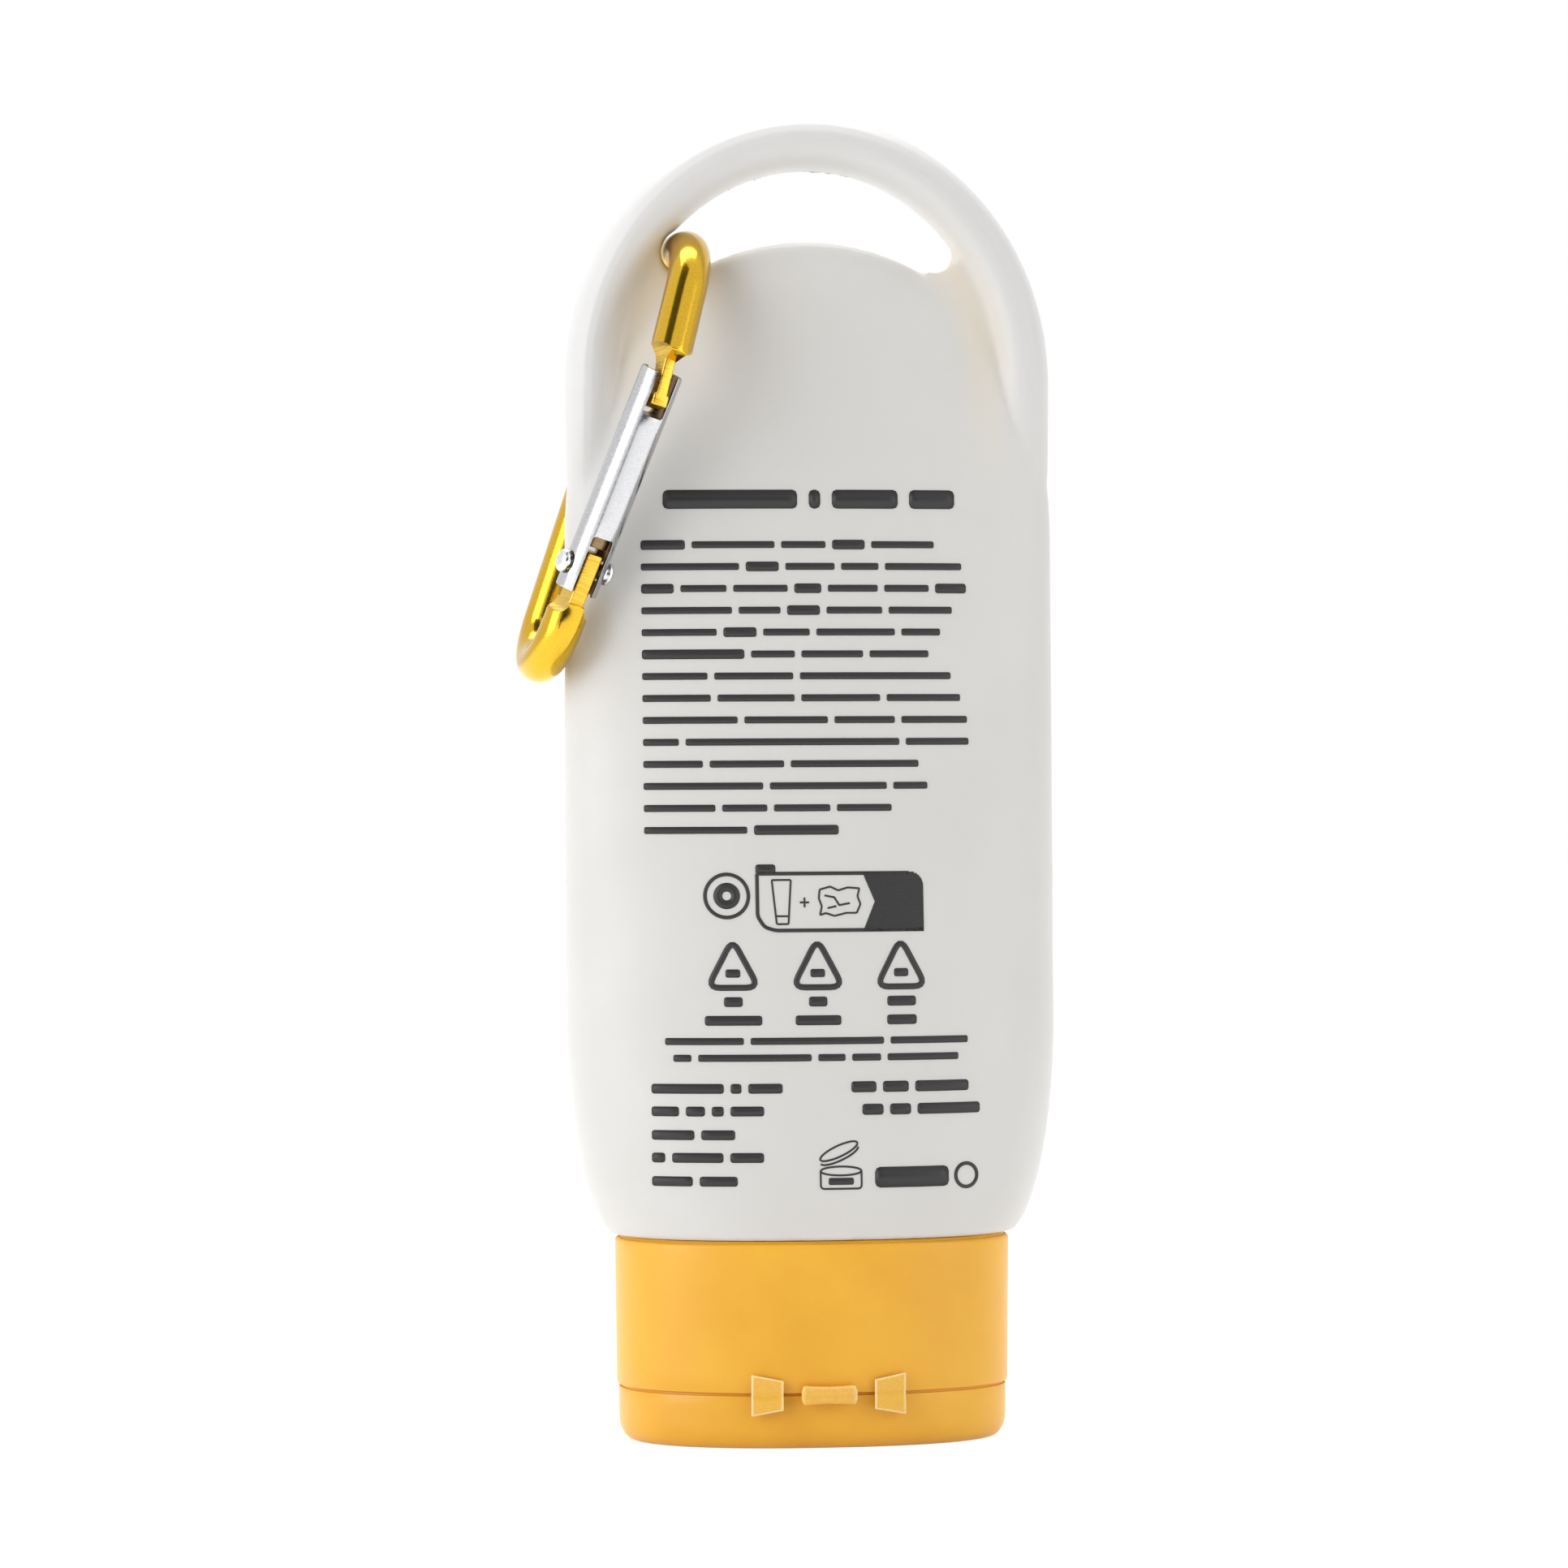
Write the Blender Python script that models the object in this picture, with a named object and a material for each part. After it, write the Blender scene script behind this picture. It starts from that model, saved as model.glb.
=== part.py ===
# A squeeze bottle of lotion that stands on its flip-top cap. A carrying loop is moulded over
# the bottle's closed end, and a small spring-gate carabiner is clipped through the loop.
# Metres, +Z up. The origin is the centre of the lid's flat face, which the bottle stands on.
# The cap's hinge side faces -Y, and the carabiner hangs on the -X shoulder.

import math

import bmesh
import bpy
from mathutils import Matrix, Vector

# Clearances
FIT_GAP = 0.0003
SEAM_GAP = 0.0003
CUT_OVERRUN = 0.002

# Cap lid
LID_HEIGHT = 0.00545
LID_WALL = 0.0012
LID_FLOOR = 0.0012
LID_STEP = 0.0002
LID_EDGE_ROUND = 0.0022
LID_EDGE_INSET = 0.0014
PIN_RADIUS = 0.0012
PIN_ENGAGEMENT = 0.0008
PIN_TIP_SHARE = 0.6

# Cap base
CAP_SIDE_STEP = 0.0002
CAP_FRONT_STEP = 0.00015
CAP_EXPONENT = 2.3
SKIRT_HEIGHT = 0.01515
SKIRT_TAPER = 0.00015
SKIRT_WALL = 0.0013
DECK_RECESS = 0.0009
DECK_THICKNESS = 0.0012
COLLAR_WALL = 0.001
COLLAR_HEIGHT = 0.0095
PLUG_WALL = 0.0008
PLUG_HEIGHT = 0.003
ORIFICE_RADIUS = 0.0015
SPOUT_RADIUS = 0.0028
SPOUT_LENGTH = 0.0018
SCOOP_RADIUS = 0.006
SCOOP_DEPTH = 0.0007

# Hinge of the cap: a middle barrel and two folding straps
HINGE_OFFSET = 0.00035
BARREL_LENGTH = 0.0057
BARREL_HEIGHT = 0.0021
BARREL_THICKNESS = 0.0007
STRAP_SPACING = 0.0063
STRAP_WIDTH = 0.0032
STRAP_TALL = 0.0042
STRAP_SHORT = 0.003
STRAP_THICKNESS = 0.0005

# Bottle body
BODY_HEIGHT = 0.1029
BODY_HALF_WIDTH = 0.0255
FOOT_HALF_WIDTH = 0.0207
SHOULDER_HEIGHT = 0.022
BODY_HALF_DEPTH = 0.0143
FOOT_TUCK = 0.0004
CROWN_HALF_DEPTH = 0.0031
CROWN_HEIGHT = 0.0321
CROWN_ROUND = 0.0065
BODY_WALL = 0.001
BODY_FOOT_EXPONENT = 2.3
BODY_CROWN_EXPONENT = 2.0
SHOULDER_EXPONENT = 0.6
CROWN_RISE_EXPONENT = 2.4
CROWN_WIDTH_EXPONENT = 0.5

# Neck inside the cap
NECK_ROOM = 0.00325
NECK_WALL = 0.0012
BEAD_HEIGHT = 0.0005
BEAD_WIDTH = 0.0016
BEAD_DROP = 0.004

# Carrying loop
SLOT_HEIGHT = 0.00735
LOOP_BAND = 0.00565
LOOP_TUCK = 0.0002
LOOP_RISE = 0.0276
LOOP_HALF_DEPTH = 0.0036
LOOP_EXPONENT = 2.05
RAIL_LENGTH = 0.024
RAIL_SINK = 0.0012
RAIL_BAND_LOSS_SHARE = 0.4
RAIL_DEPTH_LOSS_SHARE = 0.85
SLOT_END_RADIUS = 0.0021
SLOT_END_INSET = 0.00635
SLOT_END_DROP = 0.0011
SLOT_END_FROM = math.radians(45)
SLOT_END_SWEEP = math.radians(155)
WEB_HALF_DEPTH = 0.0017
SLOT_RELIEF = 0.00035
SLOT_FLARE = 0.0014
SLOT_FLARE_EXPONENT = 1.3

# Lotion
HEADSPACE = 0.0124

# Carabiner link, in its own frame: the origin is on the top bow's centreline, +Z runs along
# the link towards the top bow, and the gate is on the -Y side
LINK_INSET = 0.0004
LINK_DROP = 0.00105
LINK_Y = 0.0006
LINK_LEAN = math.radians(19.9)
LINK_TURN = math.radians(7)
LINK_PITCH = math.radians(8.3)
ROD_RADIUS = 0.00215
SPINE_Y = 0.0097
TOP_BOW_RADIUS = 0.009
BOTTOM_BOW_RADIUS = 0.00525
LINK_LENGTH = 0.0451
NOSE_DROP = 0.0142
NOSE_SPLAY = math.radians(20)
NOSE_SHOULDER_LENGTH = 0.0008
NOSE_SHOULDER_SHARE = 0.62
TANG_THICKNESS = 0.0017
TANG_DEPTH = 0.0032
NOSE_TANG_LENGTH = 0.0041
NOSE_FOOT_LENGTH = 0.0013
NOSE_NECK_THICKNESS = 0.0012
NOSE_TANG_DEPTH = 0.0022
HINGE_SHOULDER_DROP = 0.0038

# Carabiner gate, and the twist of its rivet and slots about the gate's own axis
GATE_TWIST = math.radians(12)
GATE_REACH = 0.0089
RIVET_RISE = 0.0096
GATE_LENGTH = 0.0216
GATE_RADIUS = 0.0022
GATE_WALL = 0.00045
GATE_TAIL = 0.0026
GATE_SLOT = 0.0023
REAR_SLOT_LENGTH = 0.0036
NOSE_SLOT_LENGTH = 0.0046
SEAT_THICKNESS = 0.0012
CAM_REACH = 0.0017
CAM_SWING_ROOM = 0.0006
RIVET_RADIUS = 0.0008
RIVET_HEAD_RADIUS = 0.00125
RIVET_HEAD_HEIGHT = 0.0008
PLUNGER_LENGTH = 0.0022
SPRING_WIRE = 0.00034
SPRING_RADIUS = 0.00108
SPRING_TURNS = 10

# Counts of sides and rings
OVAL_POINTS = 48
BODY_RINGS = 12
CROWN_RINGS = 15
SHOULDER_RINGS = 7
SLOT_END_STEPS = 12
RELIEF_STEPS = 4
EDGE_STEPS = 4
LOOP_SIDES = 16
LOOP_RINGS = 36
RAIL_RINGS = 6
ROD_SIDES = 14
BOW_RINGS = 18
ROUND_SIDES = 24
POINTS_PER_TURN = 9

# Sizes and places that follow from the ones above
FOOT_HALF_DEPTH = BODY_HALF_DEPTH - FOOT_TUCK
CAP_HALF_WIDTH = FOOT_HALF_WIDTH - CAP_SIDE_STEP
CAP_HALF_DEPTH = FOOT_HALF_DEPTH - CAP_FRONT_STEP
NECK_RADIUS = CAP_HALF_DEPTH - SKIRT_WALL - NECK_ROOM
LOOP_HALF_WIDTH = BODY_HALF_WIDTH - LOOP_TUCK
SLOT_END_X = LOOP_HALF_WIDTH - LOOP_BAND - SLOT_END_INSET
FILL_HEIGHT = BODY_HEIGHT - HEADSPACE
SKIRT_FOOT_Z = LID_HEIGHT + SEAM_GAP
DECK_FOOT_Z = SKIRT_FOOT_Z + DECK_RECESS
DECK_TOP_Z = DECK_FOOT_Z + DECK_THICKNESS
SPOUT_FOOT_Z = DECK_FOOT_Z - SPOUT_LENGTH
CAP_TOP_Z = SKIRT_FOOT_Z + SKIRT_HEIGHT
BODY_FOOT_Z = CAP_TOP_Z + FIT_GAP
BODY_TOP_Z = BODY_FOOT_Z + BODY_HEIGHT
CROWN_FOOT_Z = BODY_TOP_Z - CROWN_HEIGHT
NECK_END_Z = DECK_TOP_Z + FIT_GAP
BEAD_Z = BODY_FOOT_Z - BEAD_DROP
LOOP_CENTRE_Z = BODY_TOP_Z + SLOT_HEIGHT + LOOP_BAND - LOOP_RISE
HINGE_Z = LID_HEIGHT + SEAM_GAP / 2
HINGE_Y = -(CAP_HALF_DEPTH + HINGE_OFFSET)
LINK_X = LINK_INSET - SLOT_END_X
LINK_Z = BODY_TOP_Z - LINK_DROP


def clear_scene():
    for item in list(bpy.data.objects):
        bpy.data.objects.remove(item)


def material(name, colour, roughness, metallic=0.0, alpha=1.0):
    made = bpy.data.materials.new(name)
    made.use_nodes = True
    shader = made.node_tree.nodes["Principled BSDF"]
    shader.inputs["Base Color"].default_value = (*colour, 1.0)
    shader.inputs["Roughness"].default_value = roughness
    shader.inputs["Metallic"].default_value = metallic
    shader.inputs["Alpha"].default_value = alpha
    return made


def add_object(name, mesh, finish=None, parent=None):
    item = bpy.data.objects.new(name, mesh)
    bpy.context.scene.collection.objects.link(item)
    item.parent = parent
    if finish:
        mesh.materials.append(finish)
    return item


def mesh_from(name, work, sharp_degrees=35):
    bmesh.ops.recalc_face_normals(work, faces=work.faces)
    mesh = bpy.data.meshes.new(name)
    work.to_mesh(mesh)
    work.free()
    mesh.shade_smooth()
    mesh.set_sharp_from_angle(angle=math.radians(sharp_degrees))
    return mesh


# Joins rings of equal count into one skin. An open skin is closed by a flat face at each end,
# and a ringed one runs back from its last ring to its first.
def skin(name, rings, ringed=False):
    work = bmesh.new()
    loops = [[work.verts.new(point) for point in ring] for ring in rings]
    pairs = list(zip(loops, loops[1:]))
    if ringed:
        pairs.append((loops[-1], loops[0]))
    for low, high in pairs:
        for index in range(len(low)):
            after = (index + 1) % len(low)
            work.faces.new((low[index], low[after], high[after], high[index]))
    if not ringed:
        work.faces.new(list(reversed(loops[0])))
        work.faces.new(loops[-1])
    return mesh_from(name, work)


def boolean(target, tool, operation):
    cut = target.modifiers.new(tool.name, "BOOLEAN")
    cut.object = tool
    cut.operation = operation
    cut.solver = "EXACT"
    tool.hide_render = True
    tool.display_type = "WIRE"


def power(value, exponent):
    return math.copysign(abs(value) ** exponent, value)


def oval_ring(half_width, half_depth, height, exponent=2.0):
    ring = []
    for step in range(OVAL_POINTS):
        angle = math.tau * step / OVAL_POINTS
        across = half_width * power(math.cos(angle), 2 / exponent)
        deep = half_depth * power(math.sin(angle), 2 / exponent)
        ring.append(Vector((across, deep, height)))
    return ring


def circle_ring(radius, height):
    return oval_ring(radius, radius, height)


def cylinder(name, radius, low, high, sides=ROUND_SIDES, axis="Z"):
    turn = {"Z": Matrix(), "X": Matrix.Rotation(math.pi / 2, 4, "Y")}[axis]
    work = bmesh.new()
    middle = turn @ Matrix.Translation((0, 0, (low + high) / 2))
    bmesh.ops.create_cone(
        work, cap_ends=True, segments=sides, radius1=radius, radius2=radius,
        depth=high - low, matrix=middle,
    )
    return mesh_from(name, work)


def box(name, size, centre):
    work = bmesh.new()
    place = Matrix.Translation(centre) @ Matrix.Diagonal((*size, 1))
    bmesh.ops.create_cube(work, size=1, matrix=place)
    return mesh_from(name, work)


# Sweeps a section along a flat path. Each stop is a point, a tangent and the section's two half
# sizes: one across the path in its plane, one along the plane's normal.
def sweep(name, stops, normal, sides, exponent=2.0):
    rings = []
    for point, tangent, half_across, half_deep in stops:
        across = tangent.cross(normal).normalized()
        ring = []
        for step in range(sides):
            angle = math.tau * step / sides
            out = across * half_across * power(math.cos(angle), 2 / exponent)
            up = normal * half_deep * power(math.sin(angle), 2 / exponent)
            ring.append(point + out + up)
        rings.append(ring)
    return skin(name, rings)


# The body's half width, half depth and roundness at a height, drawn in by an inset
def body_section(height, inset):
    share = (height - BODY_FOOT_Z) / BODY_HEIGHT
    half_depth = BODY_HALF_DEPTH + (CROWN_HALF_DEPTH - BODY_HALF_DEPTH) * share
    half_width = BODY_HALF_WIDTH
    below = (BODY_FOOT_Z + SHOULDER_HEIGHT - height) / SHOULDER_HEIGHT
    if below > 0:
        swell = max(1 - below ** 2, 0) ** SHOULDER_EXPONENT
        half_width = FOOT_HALF_WIDTH + (BODY_HALF_WIDTH - FOOT_HALF_WIDTH) * swell
        half_depth = half_depth - (BODY_HALF_DEPTH - FOOT_HALF_DEPTH) * (1 - swell)
    exponent = BODY_FOOT_EXPONENT + (BODY_CROWN_EXPONENT - BODY_FOOT_EXPONENT) * share
    crown = (height - CROWN_FOOT_Z) / (CROWN_HEIGHT - inset)
    if crown > 0:
        left = max(1 - crown ** CROWN_RISE_EXPONENT, 0) ** CROWN_WIDTH_EXPONENT
        half_width = (half_width - inset) * left + inset
    edge = (height - BODY_TOP_Z + CROWN_ROUND) / (CROWN_ROUND - inset)
    if edge > 0:
        half_depth = (half_depth - inset) * math.sqrt(max(1 - edge ** 2, 0)) + inset
    return half_width - inset, half_depth - inset, exponent


# Heights of the body's rings: close together at the shoulder and at the crown
def body_heights(foot, inset):
    top = BODY_TOP_Z - inset
    shoulder = BODY_FOOT_Z + SHOULDER_HEIGHT
    heights = []
    for step in range(SHOULDER_RINGS):
        lift = 1 - math.cos(math.pi / 2 * step / SHOULDER_RINGS)
        heights.append(foot + (shoulder - foot) * lift)
    for step in range(BODY_RINGS):
        heights.append(shoulder + (CROWN_FOOT_Z - shoulder) * step / BODY_RINGS)
    for step in range(CROWN_RINGS):
        angle = math.pi / 2 * step / CROWN_RINGS
        rise = math.sin(angle) ** (2 / CROWN_RISE_EXPONENT)
        heights.append(CROWN_FOOT_Z + (top - CROWN_FOOT_Z) * rise)
    return heights


def body_rings(foot, inset, ceiling=None):
    rings = []
    for height in body_heights(foot, inset):
        if ceiling is not None and height > ceiling:
            break
        half_width, half_depth, exponent = body_section(height, inset)
        rings.append(oval_ring(half_width, half_depth, height, exponent))
    if ceiling is not None:
        half_width, half_depth, exponent = body_section(ceiling, inset)
        rings.append(oval_ring(half_width, half_depth, ceiling, exponent))
    return rings


def loop_stops():
    middle_width = LOOP_HALF_WIDTH - LOOP_BAND / 2
    middle_rise = LOOP_RISE - LOOP_BAND / 2
    stops = []
    for step in range(LOOP_RINGS + 1):
        angle = math.pi * step / LOOP_RINGS
        point = Vector((middle_width * math.cos(angle), 0,
                        LOOP_CENTRE_Z + middle_rise * math.sin(angle)))
        tangent = Vector((-middle_width * math.sin(angle), 0, middle_rise * math.cos(angle)))
        stops.append((point, tangent, LOOP_BAND / 2, LOOP_HALF_DEPTH))
    for side in (1, -1):
        rail = []
        for step in range(1, RAIL_RINGS + 1):
            share = step / RAIL_RINGS
            half_across = LOOP_BAND / 2 * (1 - RAIL_BAND_LOSS_SHARE * share)
            edge = LOOP_HALF_WIDTH - RAIL_SINK * share ** 3
            point = Vector((side * (edge - half_across), 0,
                            LOOP_CENTRE_Z - RAIL_LENGTH * share))
            tangent = Vector((0, 0, side))
            half_deep = LOOP_HALF_DEPTH * (1 - RAIL_DEPTH_LOSS_SHARE * share)
            rail.append((point, tangent, half_across, half_deep))
        if side > 0:
            stops = list(reversed(rail)) + stops
        else:
            stops = stops + rail
    return stops


# The web that closes each end of the loop's slot, with the slot's round end in it
def web_mesh(name, side):
    centre_z = BODY_TOP_Z - SLOT_END_DROP
    outline = []
    for step in range(SLOT_END_STEPS + 1):
        angle = SLOT_END_FROM - SLOT_END_SWEEP * step / SLOT_END_STEPS
        outline.append((SLOT_END_X + SLOT_END_RADIUS * math.cos(angle),
                        centre_z + SLOT_END_RADIUS * math.sin(angle)))
    sunk = LOOP_BAND / 2
    outline.append((SLOT_END_X - SLOT_END_RADIUS, centre_z - SLOT_END_RADIUS - sunk / 2))
    outline.append((SLOT_END_X + sunk, centre_z - SLOT_END_RADIUS - 2 * sunk))
    outline.append((LOOP_HALF_WIDTH - LOOP_BAND, LOOP_CENTRE_Z + sunk / 2))
    outline.append((LOOP_HALF_WIDTH - sunk, LOOP_CENTRE_Z + sunk))
    outline.append((SLOT_END_X + SLOT_END_RADIUS + sunk / 2, centre_z + SLOT_END_RADIUS))
    rings = []
    for deep in (-WEB_HALF_DEPTH, WEB_HALF_DEPTH):
        rings.append([Vector((side * across, deep, height)) for across, height in outline])
    return skin(name, rings)


# The slot's end where the carabiner's rod passes, opened out towards both faces of the loop
def rod_relief_mesh(name):
    reach = LOOP_HALF_DEPTH + CUT_OVERRUN
    rings = []
    for step in range(-RELIEF_STEPS, RELIEF_STEPS + 1):
        deep = reach * step / RELIEF_STEPS
        flare = SLOT_FLARE * (abs(deep) / LOOP_HALF_DEPTH) ** SLOT_FLARE_EXPONENT
        radius = ROD_RADIUS + SLOT_RELIEF + flare
        rings.append([
            Vector((LINK_X + point.x, deep, LINK_Z + point.y))
            for point in circle_ring(radius, 0)
        ])
    return skin(name, rings)


def neck_rings(end, radius, bead=0.0):
    rings = [circle_ring(radius, end)]
    if bead:
        half = BEAD_WIDTH / 2
        for drop, out in ((-half, 0), (-half / 2, bead), (half / 2, bead), (half, 0)):
            rings.append(circle_ring(radius + out, BEAD_Z + drop))
    return rings


def build_bottle(finish):
    rings = neck_rings(NECK_END_Z, NECK_RADIUS, BEAD_HEIGHT)
    rings.append(circle_ring(NECK_RADIUS, BODY_FOOT_Z))
    rings = rings + body_rings(BODY_FOOT_Z, 0.0)
    bottle = add_object("bottle", skin("bottle", rings), finish)
    loop = add_object("loop_guide", sweep(
        "loop_guide", loop_stops(), Vector((0, 1, 0)), LOOP_SIDES, LOOP_EXPONENT))
    boolean(bottle, loop, "UNION")
    for side, name in ((1, "web_guide_right"), (-1, "web_guide_left")):
        boolean(bottle, add_object(name, web_mesh(name, side)), "UNION")
    relief = rod_relief_mesh("rod_relief_cutter")
    boolean(bottle, add_object("rod_relief_cutter", relief), "DIFFERENCE")
    bore = NECK_RADIUS - NECK_WALL
    inner_foot = BODY_FOOT_Z + BODY_WALL
    hollow = [circle_ring(bore, NECK_END_Z - CUT_OVERRUN), circle_ring(bore, inner_foot)]
    hollow = hollow + body_rings(inner_foot, BODY_WALL)
    boolean(bottle, add_object("cavity_cutter", skin("cavity_cutter", hollow)), "DIFFERENCE")


def build_lotion(finish):
    plug_bore = NECK_RADIUS - NECK_WALL - FIT_GAP - PLUG_WALL
    plug_top = DECK_TOP_Z + PLUG_HEIGHT
    throat = NECK_RADIUS - NECK_WALL - FIT_GAP
    inset = BODY_WALL + FIT_GAP
    foot = BODY_FOOT_Z + inset
    rings = [
        circle_ring(plug_bore - FIT_GAP, DECK_TOP_Z + FIT_GAP),
        circle_ring(plug_bore - FIT_GAP, plug_top + FIT_GAP),
        circle_ring(throat, plug_top + FIT_GAP),
        circle_ring(throat, foot),
    ]
    rings = rings + body_rings(foot, inset, BODY_FOOT_Z + FILL_HEIGHT)
    add_object("lotion", skin("lotion", rings), finish)


def cap_oval(inset, height):
    drop = max(CAP_TOP_Z - height, 0) / SKIRT_HEIGHT
    inset = inset + SKIRT_TAPER * drop
    return oval_ring(CAP_HALF_WIDTH - inset, CAP_HALF_DEPTH - inset, height, CAP_EXPONENT)


def build_cap_base(finish):
    bore = NECK_RADIUS + FIT_GAP
    groove = bore + BEAD_HEIGHT
    collar = groove + COLLAR_WALL
    collar_top = DECK_TOP_Z + COLLAR_HEIGHT
    plug = NECK_RADIUS - NECK_WALL - FIT_GAP
    plug_top = DECK_TOP_Z + PLUG_HEIGHT
    half = BEAD_WIDTH / 2 + FIT_GAP
    rings = [
        circle_ring(ORIFICE_RADIUS, SPOUT_FOOT_Z),
        circle_ring(SPOUT_RADIUS, SPOUT_FOOT_Z),
        circle_ring(SPOUT_RADIUS, DECK_FOOT_Z),
        cap_oval(SKIRT_WALL, DECK_FOOT_Z),
        cap_oval(SKIRT_WALL, SKIRT_FOOT_Z),
        cap_oval(0, SKIRT_FOOT_Z),
        cap_oval(0, CAP_TOP_Z),
        cap_oval(SKIRT_WALL, CAP_TOP_Z),
        cap_oval(SKIRT_WALL, DECK_TOP_Z),
        circle_ring(collar, DECK_TOP_Z),
        circle_ring(collar, collar_top),
        circle_ring(bore, collar_top),
        circle_ring(bore, BEAD_Z + half),
        circle_ring(groove, BEAD_Z + half / 2),
        circle_ring(groove, BEAD_Z - half / 2),
        circle_ring(bore, BEAD_Z - half),
        circle_ring(bore, DECK_TOP_Z),
        circle_ring(plug, DECK_TOP_Z),
        circle_ring(plug, plug_top),
        circle_ring(plug - PLUG_WALL, plug_top),
        circle_ring(plug - PLUG_WALL, DECK_TOP_Z),
        circle_ring(ORIFICE_RADIUS, DECK_TOP_Z),
    ]
    base = add_object("cap_base", skin("cap_base", rings, ringed=True), finish)
    scoop = add_object("thumb_scoop_cutter", cylinder(
        "thumb_scoop_cutter", SCOOP_RADIUS, -SCOOP_RADIUS, SCOOP_RADIUS, axis="X"))
    scoop.location = (0, CAP_HALF_DEPTH + SCOOP_RADIUS - SCOOP_DEPTH, SKIRT_FOOT_Z)
    boolean(base, scoop, "DIFFERENCE")


def build_cap_lid(finish, pivot):
    pin_top = SPOUT_FOOT_Z + PIN_ENGAGEMENT
    rings = []
    for step in range(EDGE_STEPS + 1):
        angle = math.pi / 2 * step / EDGE_STEPS
        inset = LID_STEP + LID_EDGE_INSET * (1 - math.sin(angle))
        rings.append(cap_oval(inset, LID_EDGE_ROUND * (1 - math.cos(angle))))
    rings = rings + [
        cap_oval(LID_STEP, LID_HEIGHT),
        cap_oval(LID_STEP + LID_WALL, LID_HEIGHT),
        cap_oval(LID_STEP + LID_WALL, LID_EDGE_ROUND),
        cap_oval(LID_STEP + LID_WALL + LID_EDGE_INSET / 2, LID_FLOOR),
        circle_ring(PIN_RADIUS, LID_FLOOR),
        circle_ring(PIN_RADIUS, pin_top - PIN_RADIUS * (1 - PIN_TIP_SHARE)),
        circle_ring(PIN_RADIUS * PIN_TIP_SHARE, pin_top),
    ]
    lid = add_object("cap_lid", skin("cap_lid", rings), finish, pivot)
    lid.matrix_parent_inverse = Matrix.Translation((0, -HINGE_Y, -HINGE_Z))


# The straps and the barrel stand just proud of the cap's wall and bridge its seam
def wall_y(across):
    share = min(abs(across) / CAP_HALF_WIDTH, 1)
    return -CAP_HALF_DEPTH * (1 - share ** CAP_EXPONENT) ** (1 / CAP_EXPONENT)


def build_strap(name, side, finish):
    outline = (
        (STRAP_SPACING + STRAP_WIDTH / 2, STRAP_TALL / 2),
        (STRAP_SPACING - STRAP_WIDTH / 2, STRAP_SHORT / 2),
        (STRAP_SPACING - STRAP_WIDTH / 2, -STRAP_SHORT / 2),
        (STRAP_SPACING + STRAP_WIDTH / 2, -STRAP_TALL / 2),
    )
    rings = []
    for out in (FIT_GAP, FIT_GAP + STRAP_THICKNESS):
        rings.append([
            Vector((side * across, wall_y(across) - out, HINGE_Z + height))
            for across, height in outline
        ])
    add_object(name, skin(name, rings), finish)


def build_hinge(finish, strap_finish):
    depth = BARREL_THICKNESS
    middle = Vector((0, -(CAP_HALF_DEPTH + FIT_GAP + depth / 2), HINGE_Z))
    barrel = box("living_hinge", (BARREL_LENGTH, depth, BARREL_HEIGHT), middle)
    piece = add_object("living_hinge", barrel, finish)
    bevel = piece.modifiers.new("edge", "BEVEL")
    bevel.width = BARREL_THICKNESS / 4
    bevel.segments = 2
    for side, word in ((-1, "left"), (1, "right")):
        build_strap("butterfly_strap_" + word, side, strap_finish)


# Stops along the link's rod: up from the nose, over the top bow, down the spine, round the
# bottom bow and up to the hinge shoulder. The nose's leg splays away from the spine.
def rod_stops(hinge_rise):
    top_y = SPINE_Y - TOP_BOW_RADIUS
    outward = Vector((0, -math.sin(NOSE_SPLAY), -math.cos(NOSE_SPLAY)))
    leg_top = Vector((0, top_y - TOP_BOW_RADIUS * math.cos(NOSE_SPLAY),
                      TOP_BOW_RADIUS * (math.sin(NOSE_SPLAY) - 1)))
    leg = (NOSE_DROP + leg_top.z) / math.cos(NOSE_SPLAY)
    points = [leg_top + outward * leg, leg_top + outward * (leg - NOSE_SHOULDER_LENGTH)]
    for step in range(BOW_RINGS + 1):
        angle = NOSE_SPLAY + (math.pi - NOSE_SPLAY) * step / BOW_RINGS
        points.append(Vector((0, top_y - TOP_BOW_RADIUS * math.cos(angle),
                              -TOP_BOW_RADIUS + TOP_BOW_RADIUS * math.sin(angle))))
    bow_y = SPINE_Y - BOTTOM_BOW_RADIUS
    bow_z = BOTTOM_BOW_RADIUS - LINK_LENGTH
    for step in range(BOW_RINGS + 1):
        angle = math.pi * step / BOW_RINGS
        points.append(Vector((0, bow_y + BOTTOM_BOW_RADIUS * math.cos(angle),
                              bow_z - BOTTOM_BOW_RADIUS * math.sin(angle))))
    lean = gate_lean()
    points.append(points[-1] + Vector((0, -math.sin(lean), math.cos(lean))) * hinge_rise)
    stops = []
    for index, point in enumerate(points):
        before = points[max(index - 1, 0)]
        after = points[min(index + 1, len(points) - 1)]
        radius = ROD_RADIUS if index else ROD_RADIUS * NOSE_SHOULDER_SHARE
        stops.append((point, (after - before).normalized(), radius, radius))
    return stops


# The rivet's place in the link's frame: on the line from the hinge shoulder to the nose
def rivet_place():
    lean = gate_lean()
    shoulder_y = SPINE_Y - 2 * BOTTOM_BOW_RADIUS
    rise = RIVET_RISE - BOTTOM_BOW_RADIUS
    return Vector((0, shoulder_y - math.tan(lean) * rise, RIVET_RISE - LINK_LENGTH))


def gate_lean():
    return math.atan2(GATE_REACH, LINK_LENGTH - NOSE_DROP - BOTTOM_BOW_RADIUS)


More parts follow.
